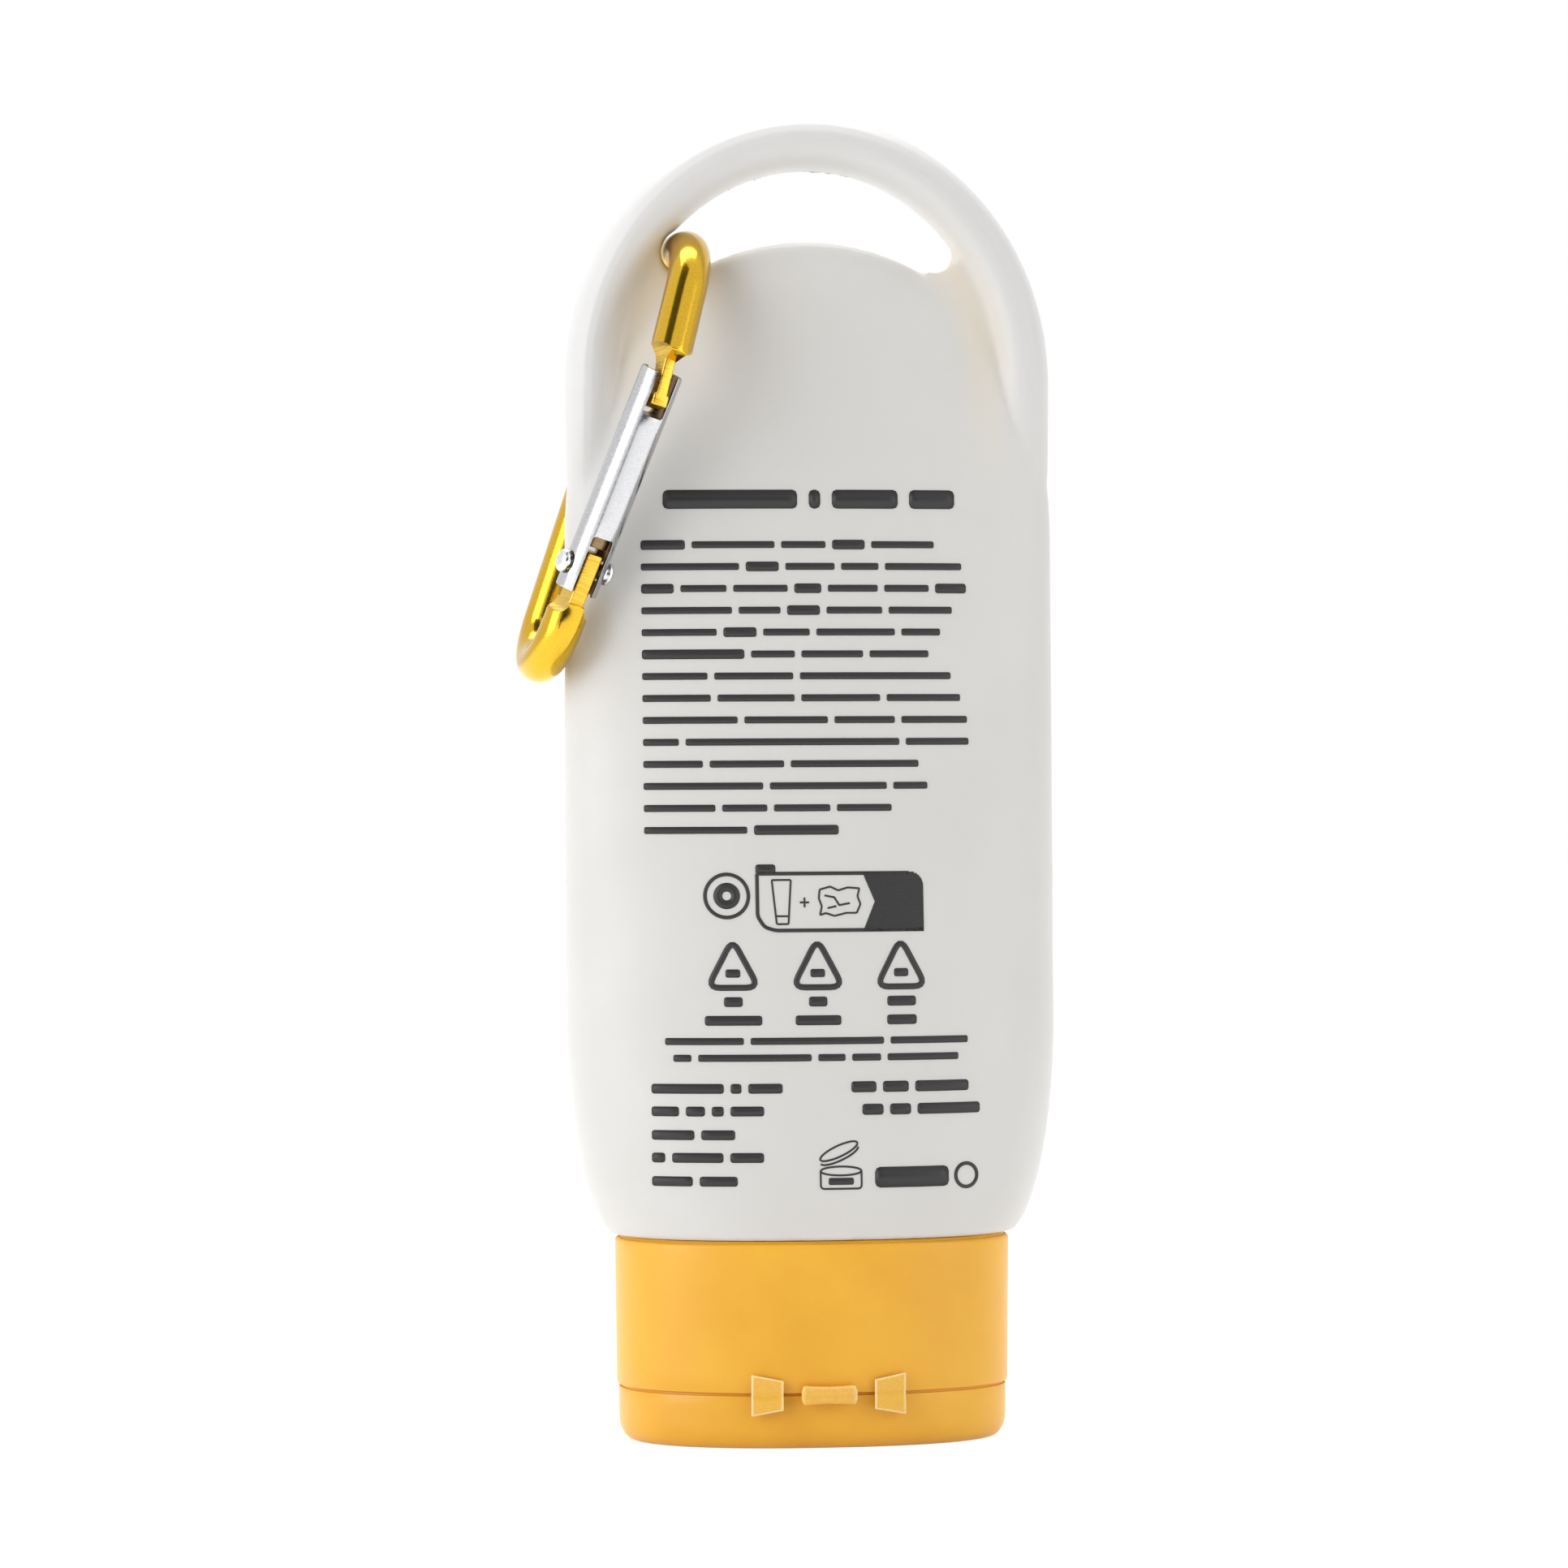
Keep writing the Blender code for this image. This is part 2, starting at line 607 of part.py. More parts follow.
def build_hook(finish, link, gate_frame, nose_frame):
    leg = (RIVET_RISE - BOTTOM_BOW_RADIUS) / math.cos(gate_lean())
    hinge_rise = leg - HINGE_SHOULDER_DROP
    hook = add_object("carabiner_hook", sweep(
        "carabiner_hook", rod_stops(hinge_rise), Vector((1, 0, 0)), ROD_SIDES), finish, link)

    tongue_low = -HINGE_SHOULDER_DROP - ROD_RADIUS
    tongue = add_object("tongue_guide", box(
        "tongue_guide", (TANG_THICKNESS, TANG_DEPTH, CAM_REACH - tongue_low),
        (0, 0, (CAM_REACH + tongue_low) / 2)), parent=gate_frame)
    boolean(hook, tongue, "UNION")
    hole = add_object("tongue_hole_cutter", cylinder(
        "tongue_hole_cutter", RIVET_RADIUS + FIT_GAP, -TANG_DEPTH, TANG_DEPTH, axis="X"),
        parent=gate_frame)
    boolean(hook, hole, "DIFFERENCE")

    neck = add_object("nose_neck_guide", box(
        "nose_neck_guide",
        (NOSE_NECK_THICKNESS, NOSE_TANG_DEPTH, ROD_RADIUS + NOSE_TANG_LENGTH),
        (0, 0, (ROD_RADIUS - NOSE_TANG_LENGTH) / 2)), parent=nose_frame)
    boolean(hook, neck, "UNION")
    foot = add_object("nose_foot_guide", box(
        "nose_foot_guide", (TANG_THICKNESS, NOSE_TANG_DEPTH, NOSE_FOOT_LENGTH),
        (0, 0, -NOSE_TANG_LENGTH)), parent=nose_frame)
    boolean(hook, foot, "UNION")


def build_gate(finish, gate_frame):
    tube = add_object("gate_tube", cylinder(
        "gate_tube", GATE_RADIUS, -GATE_TAIL, GATE_LENGTH), finish, gate_frame)
    bore_top = GATE_LENGTH - NOSE_SLOT_LENGTH - SEAT_THICKNESS
    cutters = {
        "gate_bore_cutter": cylinder(
            "gate_bore_cutter", GATE_RADIUS - GATE_WALL, -GATE_TAIL - CUT_OVERRUN, bore_top),
        "rear_slot_cutter": box(
            "rear_slot_cutter",
            (GATE_SLOT, 2 * GATE_RADIUS + CUT_OVERRUN, REAR_SLOT_LENGTH + GATE_TAIL + CUT_OVERRUN),
            (0, 0, (REAR_SLOT_LENGTH - GATE_TAIL - CUT_OVERRUN) / 2)),
        "nose_slot_cutter": box(
            "nose_slot_cutter",
            (GATE_SLOT, 2 * GATE_RADIUS + CUT_OVERRUN, NOSE_SLOT_LENGTH + CUT_OVERRUN),
            (0, 0, GATE_LENGTH + (CUT_OVERRUN - NOSE_SLOT_LENGTH) / 2)),
        "rivet_hole_cutter": cylinder(
            "rivet_hole_cutter", RIVET_RADIUS + FIT_GAP, -2 * GATE_RADIUS, 2 * GATE_RADIUS,
            axis="X"),
    }
    for name, mesh in cutters.items():
        boolean(tube, add_object(name, mesh, parent=gate_frame), "DIFFERENCE")


def build_rivet(finish, gate_frame):
    seat = GATE_RADIUS + FIT_GAP / 2
    profile = [(0, seat + RIVET_HEAD_HEIGHT)]
    for step in range(1, EDGE_STEPS + 1):
        angle = math.pi / 2 * step / EDGE_STEPS
        profile.append((RIVET_HEAD_RADIUS * math.sin(angle),
                        seat + RIVET_HEAD_HEIGHT * math.cos(angle)))
    profile.append((RIVET_RADIUS, seat))
    full = profile + [(radius, -along) for radius, along in reversed(profile)]
    rings = []
    for radius, along in full[1:-1]:
        ring = []
        for step in range(ROUND_SIDES):
            angle = math.tau * step / ROUND_SIDES
            ring.append(Vector((along, radius * math.cos(angle), radius * math.sin(angle))))
        rings.append(ring)
    add_object("gate_rivet", skin("gate_rivet", rings), finish, gate_frame)


def build_plunger_and_spring(plunger_finish, spring_finish, gate_frame):
    low = CAM_REACH + CAM_SWING_ROOM
    radius = GATE_RADIUS - GATE_WALL - FIT_GAP
    add_object("gate_plunger", cylinder(
        "gate_plunger", radius, low, low + PLUNGER_LENGTH), plunger_finish, gate_frame)
    start = low + PLUNGER_LENGTH + FIT_GAP + SPRING_WIRE / 2
    seat = GATE_LENGTH - NOSE_SLOT_LENGTH - SEAT_THICKNESS
    end = seat - FIT_GAP - SPRING_WIRE / 2
    count = SPRING_TURNS * POINTS_PER_TURN
    curve = bpy.data.curves.new("gate_spring", "CURVE")
    curve.dimensions = "3D"
    curve.bevel_depth = SPRING_WIRE / 2
    curve.bevel_resolution = 1
    curve.use_fill_caps = True
    line = curve.splines.new("POLY")
    line.points.add(count)
    for index in range(count + 1):
        angle = math.tau * index / POINTS_PER_TURN
        height = start + (end - start) * index / count
        line.points[index].co = (SPRING_RADIUS * math.cos(angle),
                                 SPRING_RADIUS * math.sin(angle), height, 1)
    curve.materials.append(spring_finish)
    spring = bpy.data.objects.new("gate_spring", curve)
    bpy.context.scene.collection.objects.link(spring)
    spring.parent = gate_frame
    print("spring gap to itself", (end - start) / SPRING_TURNS - SPRING_WIRE)


def add_empty(name, place, parent=None, turn=None):
    empty = bpy.data.objects.new(name, None)
    bpy.context.scene.collection.objects.link(empty)
    empty.location = place
    empty.parent = parent
    if turn:
        empty.rotation_mode = "QUATERNION"
        empty.rotation_quaternion = turn.to_quaternion()
    return empty


def build_carabiner():
    gold = material("gold_anodised_aluminium", (0.78, 0.52, 0.06), 0.25, 1.0)
    bright = material("bright_aluminium", (0.83, 0.83, 0.84), 0.3, 1.0)
    steel = material("rivet_steel", (0.7, 0.7, 0.71), 0.25, 1.0)
    spring_steel = material("spring_steel", (0.5, 0.5, 0.52), 0.35, 1.0)
    brass = material("plunger_brass", (0.72, 0.55, 0.28), 0.35, 1.0)
    lean = Matrix.Rotation(LINK_LEAN, 4, "Y")
    turn = Matrix.Rotation(LINK_TURN, 4, "Z")
    pitch = Matrix.Rotation(-LINK_PITCH, 4, "X")
    link = add_empty("link_frame", (LINK_X, LINK_Y, LINK_Z), turn=lean @ turn @ pitch)
    gate_turn = Matrix.Rotation(gate_lean(), 4, "X") @ Matrix.Rotation(GATE_TWIST, 4, "Z")
    gate_frame = add_empty("gate_frame", rivet_place(), link, gate_turn)
    nose_turn = gate_turn @ Matrix.Rotation(-gate_lean(), 4, "X")
    nose_y = SPINE_Y - 2 * BOTTOM_BOW_RADIUS - GATE_REACH
    nose_frame = add_empty("nose_frame", (0, nose_y, -NOSE_DROP), link, nose_turn)
    build_hook(gold, link, gate_frame, nose_frame)
    build_gate(bright, gate_frame)
    build_rivet(steel, gate_frame)
    build_plunger_and_spring(brass, spring_steel, gate_frame)


def main():
    clear_scene()
    white = material("white_polyethylene", (0.80, 0.79, 0.77), 0.4)
    cream = material("lotion_cream", (0.93, 0.90, 0.82), 0.3)
    yellow = material("yellow_polypropylene", (0.90, 0.47, 0.05), 0.4)
    clear_yellow = material("thin_polypropylene", (0.96, 0.78, 0.36), 0.3, alpha=0.8)
    build_bottle(white)
    build_lotion(cream)
    build_cap_base(yellow)
    lid_pivot = add_empty("lid_pivot", (0, HINGE_Y, HINGE_Z))
    build_cap_lid(yellow, lid_pivot)
    build_hinge(yellow, clear_yellow)
    build_carabiner()


main()
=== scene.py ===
import math

import bmesh
import bpy
from mathutils import Matrix, Vector


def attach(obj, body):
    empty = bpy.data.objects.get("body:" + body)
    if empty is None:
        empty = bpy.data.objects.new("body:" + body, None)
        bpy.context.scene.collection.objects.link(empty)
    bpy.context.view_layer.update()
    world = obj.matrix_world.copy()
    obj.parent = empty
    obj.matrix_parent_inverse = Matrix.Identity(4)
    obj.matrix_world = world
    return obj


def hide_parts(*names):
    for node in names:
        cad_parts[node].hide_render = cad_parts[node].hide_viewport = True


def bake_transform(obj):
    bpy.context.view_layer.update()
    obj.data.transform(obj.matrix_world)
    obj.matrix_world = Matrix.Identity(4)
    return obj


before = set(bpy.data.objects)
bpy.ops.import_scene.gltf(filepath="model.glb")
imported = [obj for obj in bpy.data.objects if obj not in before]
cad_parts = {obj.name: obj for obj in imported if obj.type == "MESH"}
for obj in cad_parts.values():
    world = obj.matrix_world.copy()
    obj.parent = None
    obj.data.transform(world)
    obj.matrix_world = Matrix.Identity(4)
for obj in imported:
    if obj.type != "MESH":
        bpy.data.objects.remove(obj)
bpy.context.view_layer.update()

# A squeeze bottle of lotion standing on its flip-top cap, with a spring clip in its carrying
# loop. Metres, +Z up, the printed hinge side faces -Y.

scene = bpy.context.scene
roundShare = 0.29  # how far in the middle of a rounded edge stands, as a share of the rounding


# small helpers

def newObject(name, mesh, *finishes):
    for finish in finishes:
        mesh.materials.append(finish)
    item = bpy.data.objects.new(name, mesh)
    scene.collection.objects.link(item)
    return item


def bake(item, name, *tools):  # the object's mesh with its modifiers applied; the objects go
    bpy.context.view_layer.update()
    graph = bpy.context.evaluated_depsgraph_get()
    mesh = bpy.data.meshes.new_from_object(item.evaluated_get(graph))
    mesh.name = name
    item.modifiers.clear()
    for used in (item, *tools):
        bpy.data.objects.remove(used)
    return mesh


def smooth(mesh, sharp=None):
    mesh.shade_smooth()
    if sharp:
        mesh.set_sharp_from_angle(angle=math.radians(sharp))
    return mesh


def meshOf(name, work, sharp=None):
    bmesh.ops.recalc_face_normals(work, faces=work.faces)
    mesh = bpy.data.meshes.new(name)
    work.to_mesh(mesh)
    work.free()
    return smooth(mesh, sharp)


def ringSkin(name, rings, ringed=False, sharp=None):  # joins rings of equal count into a skin
    work = bmesh.new()
    loops = [[work.verts.new(point) for point in ring] for ring in rings]
    pairs = list(zip(loops, loops[1:]))
    if ringed:
        pairs.append((loops[-1], loops[0]))
    for low, high in pairs:
        for index in range(len(low)):
            after = (index + 1) % len(low)
            work.faces.new((low[index], low[after], high[after], high[index]))
    if not ringed:
        work.faces.new(list(reversed(loops[0])))
        work.faces.new(loops[-1])
    return meshOf(name, work, sharp)


def signedPower(value, exponent):
    return math.copysign(abs(value) ** exponent, value)


def ovalRing(halfWidth, halfDepth, height, exponent=2.0, count=144):
    ring = []
    for step in range(count):
        angle = math.tau * step / count
        ring.append(Vector((halfWidth * signedPower(math.cos(angle), 2 / exponent),
                            halfDepth * signedPower(math.sin(angle), 2 / exponent), height)))
    return ring


def roundRing(radius, height, count=144):
    return ovalRing(radius, radius, height, count=count)


def lathe(name, profile, count=48, sharp=35):  # (radius, height) pairs about +Z, closed at ends
    return ringSkin(name, [roundRing(radius, height, count) for radius, height in profile],
                    sharp=sharp)


def block(name, size, centre):
    work = bmesh.new()
    bmesh.ops.create_cube(work, size=1,
                          matrix=Matrix.Translation(centre) @ Matrix.Diagonal((*size, 1)))
    return meshOf(name, work)


def turn(degrees, axis):
    return Matrix.Rotation(math.radians(degrees), 4, axis)


def cutWith(item, tool, operation="DIFFERENCE", materials="INDEX"):
    cut = item.modifiers.new(tool.name, "BOOLEAN")
    cut.object = tool
    cut.operation = operation
    cut.solver = "EXACT"
    cut.material_mode = materials


def roundEdges(item, width, segments=3, angle=30):
    edge = item.modifiers.new("roundedEdges", "BEVEL")
    edge.width = width
    edge.segments = segments
    edge.limit_method = "ANGLE"
    edge.angle_limit = math.radians(angle)
    edge.harden_normals = False


# node helpers and shared effects

def plug(tree, value, socket):  # sets a socket, or links it to another or to a node's first one
    if isinstance(value, bpy.types.Node):
        value = value.outputs[0]
    if isinstance(value, bpy.types.NodeSocket):
        tree.links.new(value, socket)
    else:
        socket.default_value = value


def addNode(tree, kind, values=None, **settings):
    node = tree.nodes.new(kind)
    for key, value in settings.items():
        setattr(node, key, value)
    for key, value in (values or {}).items():
        plug(tree, value, node.inputs[key])
    return node


def newTree(kind, name, inputs, outputs):  # a node group with named inputs and outputs
    tree = bpy.data.node_groups.new(name, kind)
    for label, socketKind, *value in inputs:
        socket = tree.interface.new_socket(label, in_out="INPUT",
                                           socket_type="NodeSocket" + socketKind)
        if value:
            socket.default_value = value[0]
    for label, socketKind in outputs:
        tree.interface.new_socket(label, in_out="OUTPUT", socket_type="NodeSocket" + socketKind)
    given = tree.nodes.new("NodeGroupInput").outputs
    return tree, given, tree.nodes.new("NodeGroupOutput").inputs


def mathOf(tree, operation, first, second=0.0):
    return addNode(tree, "ShaderNodeMath", {0: first, 1: second}, operation=operation).outputs[0]


def productOf(tree, first, second):
    return mathOf(tree, "MULTIPLY", first, second)


def spanOf(tree, value, low, high, fromLow=0.0, fromHigh=1.0):
    return addNode(tree, "ShaderNodeMapRange", {
        "Value": value, "From Min": fromLow, "From Max": fromHigh,
        "To Min": low, "To Max": high}).outputs["Result"]


def mixColours(tree, factor, low, high):
    ends = [value if isinstance(value, bpy.types.NodeSocket) else (*value, 1.0)
            for value in (low, high)]
    return addNode(tree, "ShaderNodeMix", {"Factor": factor, 6: ends[0], 7: ends[1]},
                   data_type="RGBA").outputs[2]


def makeSurfaceGrain():  # the fine, soft tooth of a moulded skin
    tree, given, result = newTree(
        "ShaderNodeTree", "surfaceGrain",
        [("Position", "Vector"), ("Scale", "Float", 2500.0), ("Softness", "Float", 0.5)],
        [("Height", "Float"), ("Mottle", "Float")])
    plug(tree, addNode(tree, "ShaderNodeTexNoise", {
        "Vector": given["Position"], "Scale": given["Scale"], "Detail": 3.0,
        "Roughness": given["Softness"]}), result["Height"])
    plug(tree, addNode(tree, "ShaderNodeTexNoise", {
        "Vector": given["Position"], "Scale": 90.0, "Detail": 4.0}), result["Mottle"])
    return tree


def makeDrawnLines():  # fine lines left by drawing or turning, running across one direction
    tree, given, result = newTree(
        "ShaderNodeTree", "drawnLines",
        [("Position", "Vector"), ("Direction", "Vector", (0.0, 0.0, 1.0)),
         ("Density", "Float", 9000.0), ("Wander", "Float", 300.0)],
        [("Height", "Float"), ("Streak", "Float")])
    along = addNode(tree, "ShaderNodeVectorMath",
                    {0: given["Position"], 1: given["Direction"]}, operation="DOT_PRODUCT")
    close = addNode(tree, "ShaderNodeVectorMath",
                    {0: given["Position"], "Scale": given["Wander"]}, operation="SCALE")
    lift = addNode(tree, "ShaderNodeVectorMath", {
        0: given["Direction"],
        "Scale": productOf(tree, along.outputs["Value"], given["Density"])}, operation="SCALE")
    joined = addNode(tree, "ShaderNodeVectorMath", {0: close, 1: lift}, operation="ADD")
    lines = addNode(tree, "ShaderNodeTexNoise", {"Vector": joined, "Scale": 1.0, "Detail": 2.0})
    plug(tree, lines, result["Height"])
    plug(tree, spanOf(tree, lines, 0.0, 1.0, 0.35, 0.65), result["Streak"])
    return tree


def makeRubWear():  # where handling has dulled or nicked a surface
    tree, given, result = newTree(
        "ShaderNodeTree", "rubWear",
        [("Position", "Vector"), ("Scale", "Float", 400.0), ("Amount", "Float", 0.1)],
        [("Mask", "Float")])
    patches = addNode(tree, "ShaderNodeTexNoise", {
        "Vector": given["Position"], "Scale": given["Scale"], "Detail": 6.0, "Roughness": 0.7})
    edge = mathOf(tree, "SUBTRACT", 0.72, given["Amount"])
    plug(tree, spanOf(tree, patches, 0.0, 1.0, edge, 0.9), result["Mask"])
    return tree


grainGroup = makeSurfaceGrain()
linesGroup = makeDrawnLines()
wearGroup = makeRubWear()


def useGroup(tree, group, position, **values):  # an effect's outputs, by name
    return addNode(tree, "ShaderNodeGroup", {**values, "Position": position},
                   node_tree=group).outputs


def newMaterial(name, **sockets):
    made = bpy.data.materials.new(name)
    made.use_nodes = True
    tree = made.node_tree
    shader = tree.nodes["Principled BSDF"]
    for label, value in sockets.items():
        shader.inputs[label.replace("_", " ")].default_value = value
    return made, tree, shader.inputs, addNode(tree, "ShaderNodeTexCoord").outputs["Object"]


def bumpFrom(tree, shader, height, distance, strength, under=None):
    values = {"Distance": distance, "Strength": strength, "Height": height}
    if under is not None:
        values["Normal"] = under
    normal = addNode(tree, "ShaderNodeBump", values).outputs["Normal"]
    plug(tree, normal, shader["Normal"])
    return normal


# finishes

evenSpan = (0.3, 0.7)  # the part of a noise's range that is spread between two values
midSpan = (0.35, 0.65)


def mottled(tree, grain, skin):  # the mottle's colour between a finish's low and high colours
    return mixColours(tree, spanOf(tree, grain["Mottle"], 0.0, 1.0, *midSpan),
                      skin["low"], skin["high"])


def roughen(tree, shader, value, skin, *span):
    plug(tree, spanOf(tree, value, skin["roughLow"], skin["roughHigh"], *span),
         shader["Roughness"])


whiteSkin = dict(
    low=(0.73, 0.72, 0.70), high=(0.713, 0.70, 0.676), thin=(0.735, 0.73, 0.724),
    # the warm valley colour, with its share, foot and top, is painted light laid into the loop's
    # valleys
    paintedValleyLight=(0.86, 0.72, 0.50), paintedValleyLightShare=0.38, roughLow=0.36, roughHigh=0.47,
    grainScale=3200.0, grainDepth=0.00001, ridges=190.0, ridgeDepth=0.00004,
    loopReach=(0.72, 0.86), loopHeight=(0.086, 0.112), ridgeReach=(0.87, 0.93),
    valleyIn=(0.6, 0.72), valleyOut=(0.74, 0.86), paintedValleyLightFoot=(0.098, 0.114),
    paintedValleyLightTop=(0.122, 0.128))


def makeWhitePlastic():
    skin = whiteSkin
    made, tree, shader, position = newMaterial(
        "whitePlastic", Subsurface_Weight=0.25, Subsurface_Scale=0.0016,
        Subsurface_Radius=(1.0, 0.9, 0.75), IOR=1.5)
    grain = useGroup(tree, grainGroup, position, Scale=skin["grainScale"])
    place = addNode(tree, "ShaderNodeSeparateXYZ", {"Vector": position}).outputs
    high = place["Z"]
    # how far out a point lies on the carrying loop's oval: 1 on its outer edge
    overWidth = mathOf(tree, "DIVIDE", place["X"], loopSize["halfWidth"])
    rise = mathOf(tree, "MAXIMUM", mathOf(tree, "SUBTRACT", high, loopSize["centreZ"]), 0.0)
    overRise = mathOf(tree, "DIVIDE", rise, loopSize["rise"])
    reach = mathOf(tree, "SQRT", mathOf(tree, "ADD", productOf(tree, overWidth, overWidth),
                                        productOf(tree, overRise, overRise)))
    onLoop = productOf(tree, spanOf(tree, reach, 0.0, 1.0, *skin["loopReach"]),
                       spanOf(tree, high, 0.0, 1.0, *skin["loopHeight"]))
    colour = mixColours(tree, onLoop, mottled(tree, grain, skin), skin["thin"])
    # painted light: a warm glow painted into the valleys where the loop meets the body
    valley = productOf(tree, spanOf(tree, reach, 0.0, 1.0, *skin["valleyIn"]),
                       spanOf(tree, reach, 1.0, 0.0, *skin["valleyOut"]))
    band = productOf(tree, spanOf(tree, high, 0.0, skin["paintedValleyLightShare"], *skin["paintedValleyLightFoot"]),
                     spanOf(tree, high, 1.0, 0.0, *skin["paintedValleyLightTop"]))
    plug(tree, mixColours(tree, productOf(tree, valley, band), colour, skin["paintedValleyLight"]),
         shader["Base Color"])
    roughen(tree, shader, grain["Mottle"], skin, *evenSpan)
    # faint ridges left by the mould, which follow the loop's outer edge
    ridges = mathOf(tree, "SINE", productOf(tree, reach, skin["ridges"]))
    ridges = productOf(tree, productOf(tree, ridges, onLoop),
                       spanOf(tree, reach, 0.0, 1.0, *skin["ridgeReach"]))
    under = bumpFrom(tree, shader, ridges, skin["ridgeDepth"], 0.35)
    bumpFrom(tree, shader, grain["Height"], skin["grainDepth"], 0.6, under)
    return made


yellowSkin = dict(
    low=(0.85, 0.425, 0.022), high=(0.91, 0.485, 0.036), rub=(0.95, 0.56, 0.11),
    roughLow=0.33, roughHigh=0.45, grainScale=2600.0, grainDepth=0.00001,
    rubScale=900.0, rubAmount=0.05, rubShare=0.3)


def makeYellowPlastic():
    skin = yellowSkin
    made, tree, shader, position = newMaterial(
        "yellowPlastic", Subsurface_Weight=0.2, Subsurface_Scale=0.001,
        Subsurface_Radius=(1.0, 0.55, 0.15), IOR=1.49)
    grain = useGroup(tree, grainGroup, position, Scale=skin["grainScale"])
    wear = useGroup(tree, wearGroup, position, Scale=skin["rubScale"], Amount=skin["rubAmount"])
    plug(tree, mixColours(tree, productOf(tree, wear["Mask"], skin["rubShare"]),
                          mottled(tree, grain, skin), skin["rub"]), shader["Base Color"])
    roughen(tree, shader, grain["Mottle"], skin, *evenSpan)
    bumpFrom(tree, shader, grain["Height"], skin["grainDepth"], 0.7)
    return made


thinSkin = dict(
    low=(0.90, 0.49, 0.05), high=(0.94, 0.56, 0.085), rim=(0.98, 0.86, 0.58),
    roughLow=0.2, roughHigh=0.34, grainScale=5000.0, grainDepth=0.00002, raggedLow=0.7)


def makeThinPlastic():  # the cap's plastic where it is thin, with a painted highlight along its edges
    skin = thinSkin
    made, tree, shader, position = newMaterial(
        "thinPlastic", Subsurface_Weight=0.4, Subsurface_Scale=0.0008,
        Subsurface_Radius=(1.0, 0.8, 0.4), IOR=1.49)
    grain = useGroup(tree, grainGroup, position, Scale=skin["grainScale"])
    colour = mixColours(tree, spanOf(tree, grain["Height"], 0.0, 1.0, *evenSpan),
                        skin["low"], skin["high"])
    # the rim colour is a painted highlight, laid where each thin piece marks it
    rim = addNode(tree, "ShaderNodeAttribute", attribute_name="paintedHighlight").outputs["Fac"]
    ragged = productOf(tree, rim, spanOf(tree, grain["Height"], skin["raggedLow"], 1.0, 0.4, 0.6))
    plug(tree, mixColours(tree, ragged, colour, skin["rim"]), shader["Base Color"])
    roughen(tree, shader, grain["Mottle"], skin, *evenSpan)
    bumpFrom(tree, shader, grain["Height"], skin["grainDepth"], 0.5)
    return made


def paintHighlight(mesh, amountAt):  # marks each point of a thin piece by how much painted highlight it gets
    marks = mesh.attributes.new("paintedHighlight", "FLOAT", "POINT")
    marks.data.foreach_set("value", [amountAt(point.co) for point in mesh.vertices])


# each metal's colours between and on its fine lines, its roughness, the lines' density, wander
# and depth, and where it has them the amount and the colour of its wear
metals = dict(
    goldAnodised=dict(
        low=(0.64, 0.385, 0.028), high=(0.70, 0.435, 0.04), roughLow=0.13, roughHigh=0.2,
        density=900.0, wander=5200.0, depth=0.000004, wear=0.02, worn=(0.80, 0.58, 0.18)),
    machinedGold=dict(
        low=(0.60, 0.38, 0.04), high=(0.78, 0.52, 0.08), roughLow=0.25, roughHigh=0.42,
        density=7000.0, wander=500.0, depth=0.00006),
    drawnAluminium=dict(
        low=(0.50, 0.505, 0.525), high=(0.58, 0.58, 0.59), roughLow=0.16, roughHigh=0.27,
        density=8000.0, wander=2600.0, depth=0.00001),
    # the gate's inside: aluminium darkened and browned as painted shade, where little light reaches
    paintedShadeGateInside=dict(
        low=(0.20, 0.13, 0.06), high=(0.30, 0.21, 0.11), roughLow=0.3, roughHigh=0.45,
        density=6000.0, wander=900.0, depth=0.00001),
    rivetSteel=dict(
        low=(0.70, 0.71, 0.73), high=(0.82, 0.82, 0.84), roughLow=0.15, roughHigh=0.27,
        density=3000.0, wander=2600.0, depth=0.000006),
    springWire=dict(
        low=(0.45, 0.45, 0.47), high=(0.6, 0.6, 0.62), roughLow=0.25, roughHigh=0.4,
        density=5000.0, wander=2500.0, depth=0.000004),
    # the plunger: brass darkened far below its own colour, as painted shade inside the gate's rear
    # slot
    paintedShadeBrass=dict(
        low=(0.20, 0.14, 0.07), high=(0.31, 0.22, 0.12), roughLow=0.3, roughHigh=0.45,
        density=9000.0, wander=500.0, depth=0.000006))
metalWear = dict(scale=700.0, amount=0.05, share=0.6, rough=0.12)


def makeMetal(name, direction):
    skin = metals[name]
    made, tree, shader, position = newMaterial(name, Metallic=1.0)
    lines = useGroup(tree, linesGroup, position, Direction=direction, Density=skin["density"],
                     Wander=skin["wander"])
    wear = useGroup(tree, wearGroup, position, Scale=metalWear["scale"],
                    Amount=skin.get("wear", metalWear["amount"]))["Mask"]
    plug(tree, mixColours(tree, productOf(tree, wear, metalWear["share"]),
                          mixColours(tree, lines["Streak"], skin["low"], skin["high"]),
                          skin.get("worn", skin["high"])), shader["Base Color"])
    rough = spanOf(tree, lines["Streak"], skin["roughLow"], skin["roughHigh"])
    plug(tree, mathOf(tree, "ADD", rough, productOf(tree, wear, metalWear["rough"])),
         shader["Roughness"])
    bumpFrom(tree, shader, lines["Height"], skin["depth"], 0.6)
    return made


inkSkin = dict(
    solid=(0.028, 0.027, 0.028), rubbed=(0.075, 0.073, 0.072), roughLow=0.42, roughHigh=0.6,
    rubScale=3000.0, rubAmount=0.08)


def makeInk():
    skin = inkSkin
    made, tree, shader, position = newMaterial("printInk", Specular_IOR_Level=0.4)
    wear = useGroup(tree, wearGroup, position, Scale=skin["rubScale"],
                    Amount=skin["rubAmount"])["Mask"]
    plug(tree, mixColours(tree, wear, skin["solid"], skin["rubbed"]), shader["Base Color"])
    roughen(tree, shader, wear, skin)
    return made


lotionSkin = dict(
    low=(0.91, 0.87, 0.78), high=(0.94, 0.91, 0.84), roughLow=0.2, roughHigh=0.35,
    grainScale=300.0, grainDepth=0.0002)


